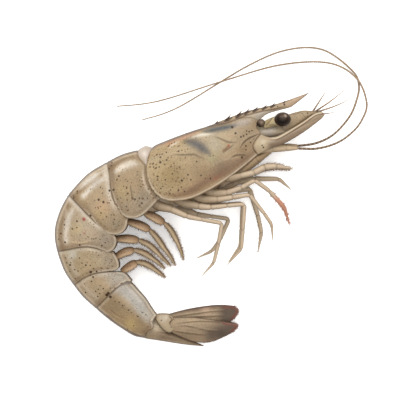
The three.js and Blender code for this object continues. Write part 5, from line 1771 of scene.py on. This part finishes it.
def eyestalk_piece(side):
    """The broad olive stalk that carries an eye, with a crease across it."""
    sign = SIDES[side]
    path = Line([(x, y, MID_HEIGHT + sign * z) for x, y, z in EYESTALK])
    share = np.linspace(-0.1, 1, 46)
    radius = np.interp(share, (-0.1, 0.15, 0.5, 0.85, 1.0), (1.1, 1.25, 1.4, 1.5, 1.4))
    rings, turn = limb_rings(path.at(share), radius, sides=32)

    def paint_stalk(points, _row, column):
        paint = Paint(points, (190, 172, 136))
        paint.draw((
            (((16.5, 20.9), (17.5, 22.0), (18.6, 23.4)), 0.16, INK, 0.85, 0.1),
            (((17.5, 21.1), (18.6, 21.2), (19.7, 21.1)), 0.14, INK, 0.7, 0.1),
            ((17.2, 22.6), 0.8, (172, 152, 106), 0.6),
            ((19.2, 22.2), 0.7, (196, 180, 140), 0.6),
        ))
        paint.lay(INK, 0.5 * np.abs(np.cos(turn[column])) ** 8)
        return paint

    shape = Shape()
    add_tube(shape, rings, paint_stalk)
    return shape


def head_core_piece():
    """The front of the head that the stalks and the feelers' roots stand on."""

    def lateral(along, down, y):
        half = leaf(0.15 + 0.7 * down, mix(1.9, 2.4, ramp(along, 0, 0.3)), 0.4)
        return np.full_like(y, MID_HEIGHT), half

    blade = BladePlate(Patch(*HEAD_CORE), lateral, rows=70, columns=80, power=0.75, ends=0.04)
    blade.raise_by(0.3 * blade.near(((15.5, 19.2), (17.8, 19.3), (20.4, 19.6)), 0.9))
    paint = blade.paint((186, 170, 146), specks=0.15)
    paint.draw((
        ((17.8, 19.2), 1.6, (188, 178, 170), 0.9),
        # Painted highlights on the bulge under the eye.
        ((16.0, 19.2), 1.0, (206, 194, 184), 0.7),
        (((16.2, 20.3), (18.0, 20.3), (20.0, 20.1)), 0.4, (210, 200, 190), 0.6),
        # A painted shadow under the bulge.
        (((15.8, 17.9), (18.0, 17.7), (20.4, 18.3), (22.0, 18.9)), 0.45, (120, 104, 92), 0.8),
    ))
    return blade.add_to(Shape(), paint)


def antennule_piece(side):
    """The broad root of the two short feelers of one side, with both feelers and the hairs on its back."""
    sign = SIDES[side]
    middle = MID_HEIGHT + sign * ANTENNULE_OFFSET

    def lateral(along, down, y):
        return np.full_like(y, middle), leaf(0.12 + 0.76 * down, mix(0.6, 1.05, along), 0.2)

    blade = BladePlate(Patch(*ANTENNULE), lateral, rows=80, columns=64, power=0.6, ends=0.03)
    paint = blade.paint((177, 155, 125), specks=0.5)
    paint.lay((160, 142, 122), 0.7 * ramp(-paint.places[:, 0], -25, -22))
    paint.lay((132, 108, 80), 0.7 * bump(blade.values(blade.from_back), 0.3))
    paint.draw((
        (((24.0, 24.2), (26.0, 24.6), (27.6, 25.3)), 0.12, INK, 0.6),
        (((23.3, 19.3), (26.0, 21.3), (29.0, 23.4), (31.4, 24.9)), 0.28, (122, 99, 77), 0.8, 0.1),
        (((25.0, 22.9), (27.8, 23.9), (30.6, 25.0)), 0.4, (190, 167, 136), 0.4),
    ))
    paint.dot(ANTENNULE_SPOTS)
    shape = blade.add_to(Shape(), paint)
    radius = np.interp(np.linspace(0, 1, 110), (0, 0.5, 1), (0.3, 0.22, 0.08))
    for points in WHISKERS[side]:
        path = Line([(x, y, middle - 0.5 * sign * (i > 1) - 0.25 * i) for i, (x, y) in enumerate(points)])
        add_feeler(shape, path, radius, sides=10, pitch=0.45)

    def height(y):
        return np.full_like(y, middle)

    back = Line(ANTENNULE[2])
    fringe(shape, back, height, 0.3, 0.35, (120, 98, 76), 17 + sign, -1, lean=-0.8, span=(0.1, 0.9))
    return shape


def scale_piece(side):
    """The long flat scale beside the feeler, with the round cheek at its root and a ridge along its top."""
    sign = SIDES[side]

    def lateral(along, down, y):
        root = mix(0.4, 1.05, np.clip(along, 0, 1) ** 2)
        return np.full_like(y, MID_HEIGHT + sign * SCALE_OFFSET), root * leaf(down, 1, 0.35)

    blade = BladePlate(Patch(*SCALE), lateral, rows=130, columns=70, power=0.55, ends=0.03)
    relief = 0.22 * blade.near(SCALE_RIDGE, 0.32, 0.1)
    relief -= 0.1 * blade.near(np.array(SCALE_RIDGE) - (0, 0.75), 0.25, 0.1)
    relief += 0.25 * bump(np.linalg.norm(blade.rings[..., :2] - (15.5, 14.9), axis=-1), 1.3)
    blade.raise_by(relief)
    paint = blade.paint((196, 174, 148), specks=0.12)
    x = paint.places[:, 0]
    back, belly = blade.values(blade.from_back), blade.values(blade.from_belly)
    # Darker over the lower half beyond the cheek: painted shade along where the scale meets the antenna's
    # root.
    paint.lay((118, 98, 82), 0.85 * ramp(blade.values(blade.down), 0.3, 0.75) * ramp(x, 15.5, 18.5))
    paint.lay((176, 152, 128), 0.6 * ramp(x, 26, 31))
    paint.blot((15.5, 15.0), 1.9, (202, 184, 154), 0.9)
    paint.blot((15.9, 16.3), 0.8, (220, 208, 186), 0.7)
    paint.blot((18.4, 16.6), 0.9, (190, 174, 154), 0.5)
    long_part = ramp(x, 16.5, 20.5)
    paint.lay((172, 152, 128), 0.5 * bump(back - 1.5, 0.5) * long_part)
    paint.lay((166, 146, 124), 0.6 * bump(belly - 0.55, 0.35) * ramp(x, 21, 25))
    # A painted highlight on the ridge along the top.
    paint.lay((226, 211, 187), 0.95 * bump(back - 0.32, 0.22) * long_part)
    # Painted shade in the groove below the ridge.
    paint.lay((96, 72, 52), 0.9 * bump(back - 0.74, 0.17) * long_part)
    paint.lay((110, 88, 66), 0.35 * bump(blade.values(blade.from_rear), 0.16))
    paint.lay((110, 88, 68), 0.6 * bump(back, 0.12))
    paint.lay((110, 90, 72), 0.6 * bump(belly, 0.18))
    paint.dot(((15.5, 15.1, 0.24), (15.9, 14.5, 0.26)))
    return blade.add_to(Shape(), paint)


def antenna_base_piece(side):
    sign = SIDES[side]
    joints = [(x, y, MID_HEIGHT + sign * ANTENNA_BASE_OFFSET) for x, y in ANTENNA_BASE[side]]
    shape = Shape()
    add_leg(shape, joints, (1.15, 1.2, 0.95, 0.5), (200, 178, 150), sides=26, dark=(124, 100, 78), swell=0.08)
    return shape


def build_head(_context):
    finish = painted_finish("head_shell", mottle=0.1, flesh=0.06, bump_depth=0.08)
    head_core_piece().make("head_core_shell", finish, ("head_core",), "head_shell")
    for side in SIDES:
        eyestalk_piece(side).make(f"eyestalk_shell_{side}", finish, (f"eyestalk_{side}",), "head_shell")
        antennule_piece(side).make(f"antennule_shell_{side}", finish, (f"antennule_{side}",), "head_shell")
        scale_piece(side).make(f"antennal_plate_{side}", finish, (f"antennal_scale_{side}",), "head_shell")
        antenna_base_piece(side).make(f"antenna_root_{side}", finish, (f"antenna_base_{side}",), "head_shell")
    build_eyes()


def add_feeler(shape, line, radius, sides, pitch):
    """A fine feeler made of many short rings."""
    share = np.linspace(0, 1, len(radius))
    wave = line.length * 2 * math.pi / pitch
    rings, turn = limb_rings(line.at(share), radius * (1 + 0.08 * np.cos(share * wave)), sides)

    def paint_feeler(points, row, column):
        paint = Paint(points, (170, 145, 120))
        band = 0.5 + 0.5 * np.cos(share[row] * wave / 2.2)
        paint.lay((96, 74, 56), (0.85 - 0.6 * ramp(share[row], 0.02, 0.4)) * band)
        # Painted shade along both sides.
        paint.lay((118, 95, 76), 0.5 * np.abs(np.cos(turn[column])) ** 3)
        # Painted light on the upper side.
        upper = np.clip(np.sin(turn[column]), 0, 1) ** 4
        paint.lay((200, 176, 152), 0.5 * upper * ramp(share[row], 0.1, 0.3))
        return paint

    add_tube(shape, rings, paint_feeler)


def build_antennae(_context):
    finish = painted_finish(
        "antenna_rings", rough=(0.4, 0.58), coat=0.08, flesh=0.06, bump_depth=0.06, grain=3.0,
    )
    for side in SIDES:
        path = Line(FLAGELLA[side], samples=1500)
        shape = Shape()
        add_feeler(shape, path, profile(FLAGELLUM_RADII, np.linspace(0, 1, 760)), sides=12, pitch=0.6)
        shape.make(f"antenna_feeler_{side}", finish, (f"antenna_{side}",), "antenna")


# ---- Table, light and camera ----

TABLE_REACH = 1.2
TABLE_DROP = 0.00002
SKY_COLOUR = (1.0, 0.99, 0.98, 1.0)
SKY_STRENGTH = 0.85
FRAME_WIDTH = 0.12
FOCAL_LENGTH = 200.0
SENSOR_WIDTH = 36.0
PHOTO_MIDDLE = (-3.0, -1.2)
# Place, size and colour of each light.
BACK_LIGHT = ((-0.12, 0.5, 0.5), (0.5, 0.35), (1.0, 0.985, 0.96))
TOP_LIGHT = ((0.05, 0.05, 0.8), (0.8, 0.8), (1.0, 1.0, 1.0))


def table_finish(colour, glow):
    finish = Finish("pale_table")
    place = finish.node("ShaderNodeTexCoord").outputs["Object"]
    cloud = finish.noise(place, 30.0, 3.0)
    tone = tuple(colour)
    darker = tuple(0.985 * part for part in tone)
    finish.link(finish.blend((*tone, 1.0), (*darker, 1.0), cloud), finish.surface.inputs["Base Color"])
    finish.rough(cloud, 0.75, 0.9)
    return finish.set(Specular_IOR_Level=0.2, Emission_Color=(1.0, 1.0, 1.0, 1.0), Emission_Strength=glow)


def area_light(name, power, place, size, colour):
    """A soft light that looks at the middle of the table."""
    light = bpy.data.lights.new(name, "AREA")
    light.shape = "RECTANGLE"
    light.size, light.size_y = size
    light.energy = power
    light.color = colour
    lamp = bpy.data.objects.new(name, light)
    lamp.location = place
    lamp.rotation_euler = (-Vector(place)).to_track_quat("-Z", "Y").to_euler()
    bpy.context.scene.collection.objects.link(lamp)


def build_table(context):
    scene = context.scene
    settings = scene.shrimp_table
    mesh = bpy.data.meshes.new("table")
    corners = [(x * TABLE_REACH, y * TABLE_REACH, 0) for x, y in ((-1, -1), (1, -1), (1, 1), (-1, 1))]
    mesh.from_pydata(corners, [], [(0, 1, 2, 3)])
    mesh.materials.append(table_finish(settings.colour, settings.glow))
    table = bpy.data.objects.new("table", mesh)
    table.location.z = -TABLE_DROP
    scene.collection.objects.link(table)

    world = bpy.data.worlds.new("soft_white")
    world.use_nodes = True
    sky = world.node_tree.nodes["Background"]
    sky.inputs["Color"].default_value = SKY_COLOUR
    sky.inputs["Strength"].default_value = SKY_STRENGTH
    scene.world = world
    area_light("back_light", settings.key, *BACK_LIGHT)
    area_light("top_light", settings.fill, *TOP_LIGHT)

    camera = bpy.data.cameras.new("camera")
    camera.lens = FOCAL_LENGTH
    camera.sensor_width = SENSOR_WIDTH
    eye = bpy.data.objects.new("camera", camera)
    centre = np.array([*PHOTO_MIDDLE, MID_HEIGHT]) * MILLIMETRE + DRAWING_ORIGIN
    eye.location = Vector(centre) + Vector((0, 0, FRAME_WIDTH * FOCAL_LENGTH / SENSOR_WIDTH))
    camera.clip_start, camera.clip_end = 0.01, 10.0
    scene.collection.objects.link(eye)
    scene.camera = eye
    scene.view_settings.view_transform = "Standard"


# ---- The add-on ----


class SHRIMP_OT_carapace(Operator):
    """Makes the carapace and its toothed rostrum."""

    bl_idname = "shrimp.carapace"
    bl_label = "Carapace"

    def execute(self, context):
        build_carapace(context)
        return {"FINISHED"}


class SHRIMP_OT_abdomen(Operator):
    """Makes the six abdominal segments and the hinge lobe."""

    bl_idname = "shrimp.abdomen"
    bl_label = "Abdomen"

    def execute(self, context):
        build_abdomen(context)
        return {"FINISHED"}


class SHRIMP_OT_tail(Operator):
    """Makes the telson and the tail fan."""

    bl_idname = "shrimp.tail"
    bl_label = "Tail fan"

    def execute(self, context):
        build_tail(context)
        return {"FINISHED"}


class SHRIMP_OT_head(Operator):
    """Makes the eyes, the scales and the roots of the feelers."""

    bl_idname = "shrimp.head"
    bl_label = "Head"

    def execute(self, context):
        build_head(context)
        return {"FINISHED"}


class SHRIMP_OT_antennae(Operator):
    """Makes the two long feelers."""

    bl_idname = "shrimp.antennae"
    bl_label = "Antennae"

    def execute(self, context):
        build_antennae(context)
        return {"FINISHED"}


class SHRIMP_OT_legs(Operator):
    """Makes the jaw feet, the walking legs and the underside."""

    bl_idname = "shrimp.legs"
    bl_label = "Legs"

    def execute(self, context):
        build_legs(context)
        return {"FINISHED"}


class SHRIMP_OT_swimming_legs(Operator):
    """Makes the ten swimming legs."""

    bl_idname = "shrimp.swimming_legs"
    bl_label = "Swimming legs"

    def execute(self, context):
        build_swimming_legs(context)
        return {"FINISHED"}


class SHRIMP_OT_table(Operator):
    """Makes the table, the lights and the camera."""

    bl_idname = "shrimp.table"
    bl_label = "Table"

    def execute(self, context):
        build_table(context)
        return {"FINISHED"}


BUILDERS = (
    SHRIMP_OT_carapace,
    SHRIMP_OT_abdomen,
    SHRIMP_OT_tail,
    SHRIMP_OT_head,
    SHRIMP_OT_antennae,
    SHRIMP_OT_legs,
    SHRIMP_OT_swimming_legs,
    SHRIMP_OT_table,
)


class SHRIMP_PT_pieces(Panel):
    """Lists what the shrimp is made of."""

    bl_label = "Raw brown shrimp"
    bl_space_type = "VIEW_3D"
    bl_region_type = "UI"
    bl_category = "Shrimp"

    def draw(self, context):
        for settings in (context.scene.shrimp_shell, context.scene.shrimp_table):
            for key in settings.__annotations__:
                self.layout.prop(settings, key)
        for builder in BUILDERS:
            self.layout.operator(builder.bl_idname)


CLASSES = (ShrimpShell, ShrimpTable, *BUILDERS, SHRIMP_PT_pieces)


def register():
    for each in CLASSES:
        bpy.utils.register_class(each)
    bpy.types.Scene.shrimp_shell = PointerProperty(type=ShrimpShell)
    bpy.types.Scene.shrimp_table = PointerProperty(type=ShrimpTable)


def unregister():
    del bpy.types.Scene.shrimp_table
    del bpy.types.Scene.shrimp_shell
    for each in reversed(CLASSES):
        bpy.utils.unregister_class(each)


def main():
    register()
    for builder in BUILDERS:
        _, key = builder.bl_idname.split(".")
        getattr(bpy.ops.shrimp, key)()


if __name__ == "__main__":
    main()
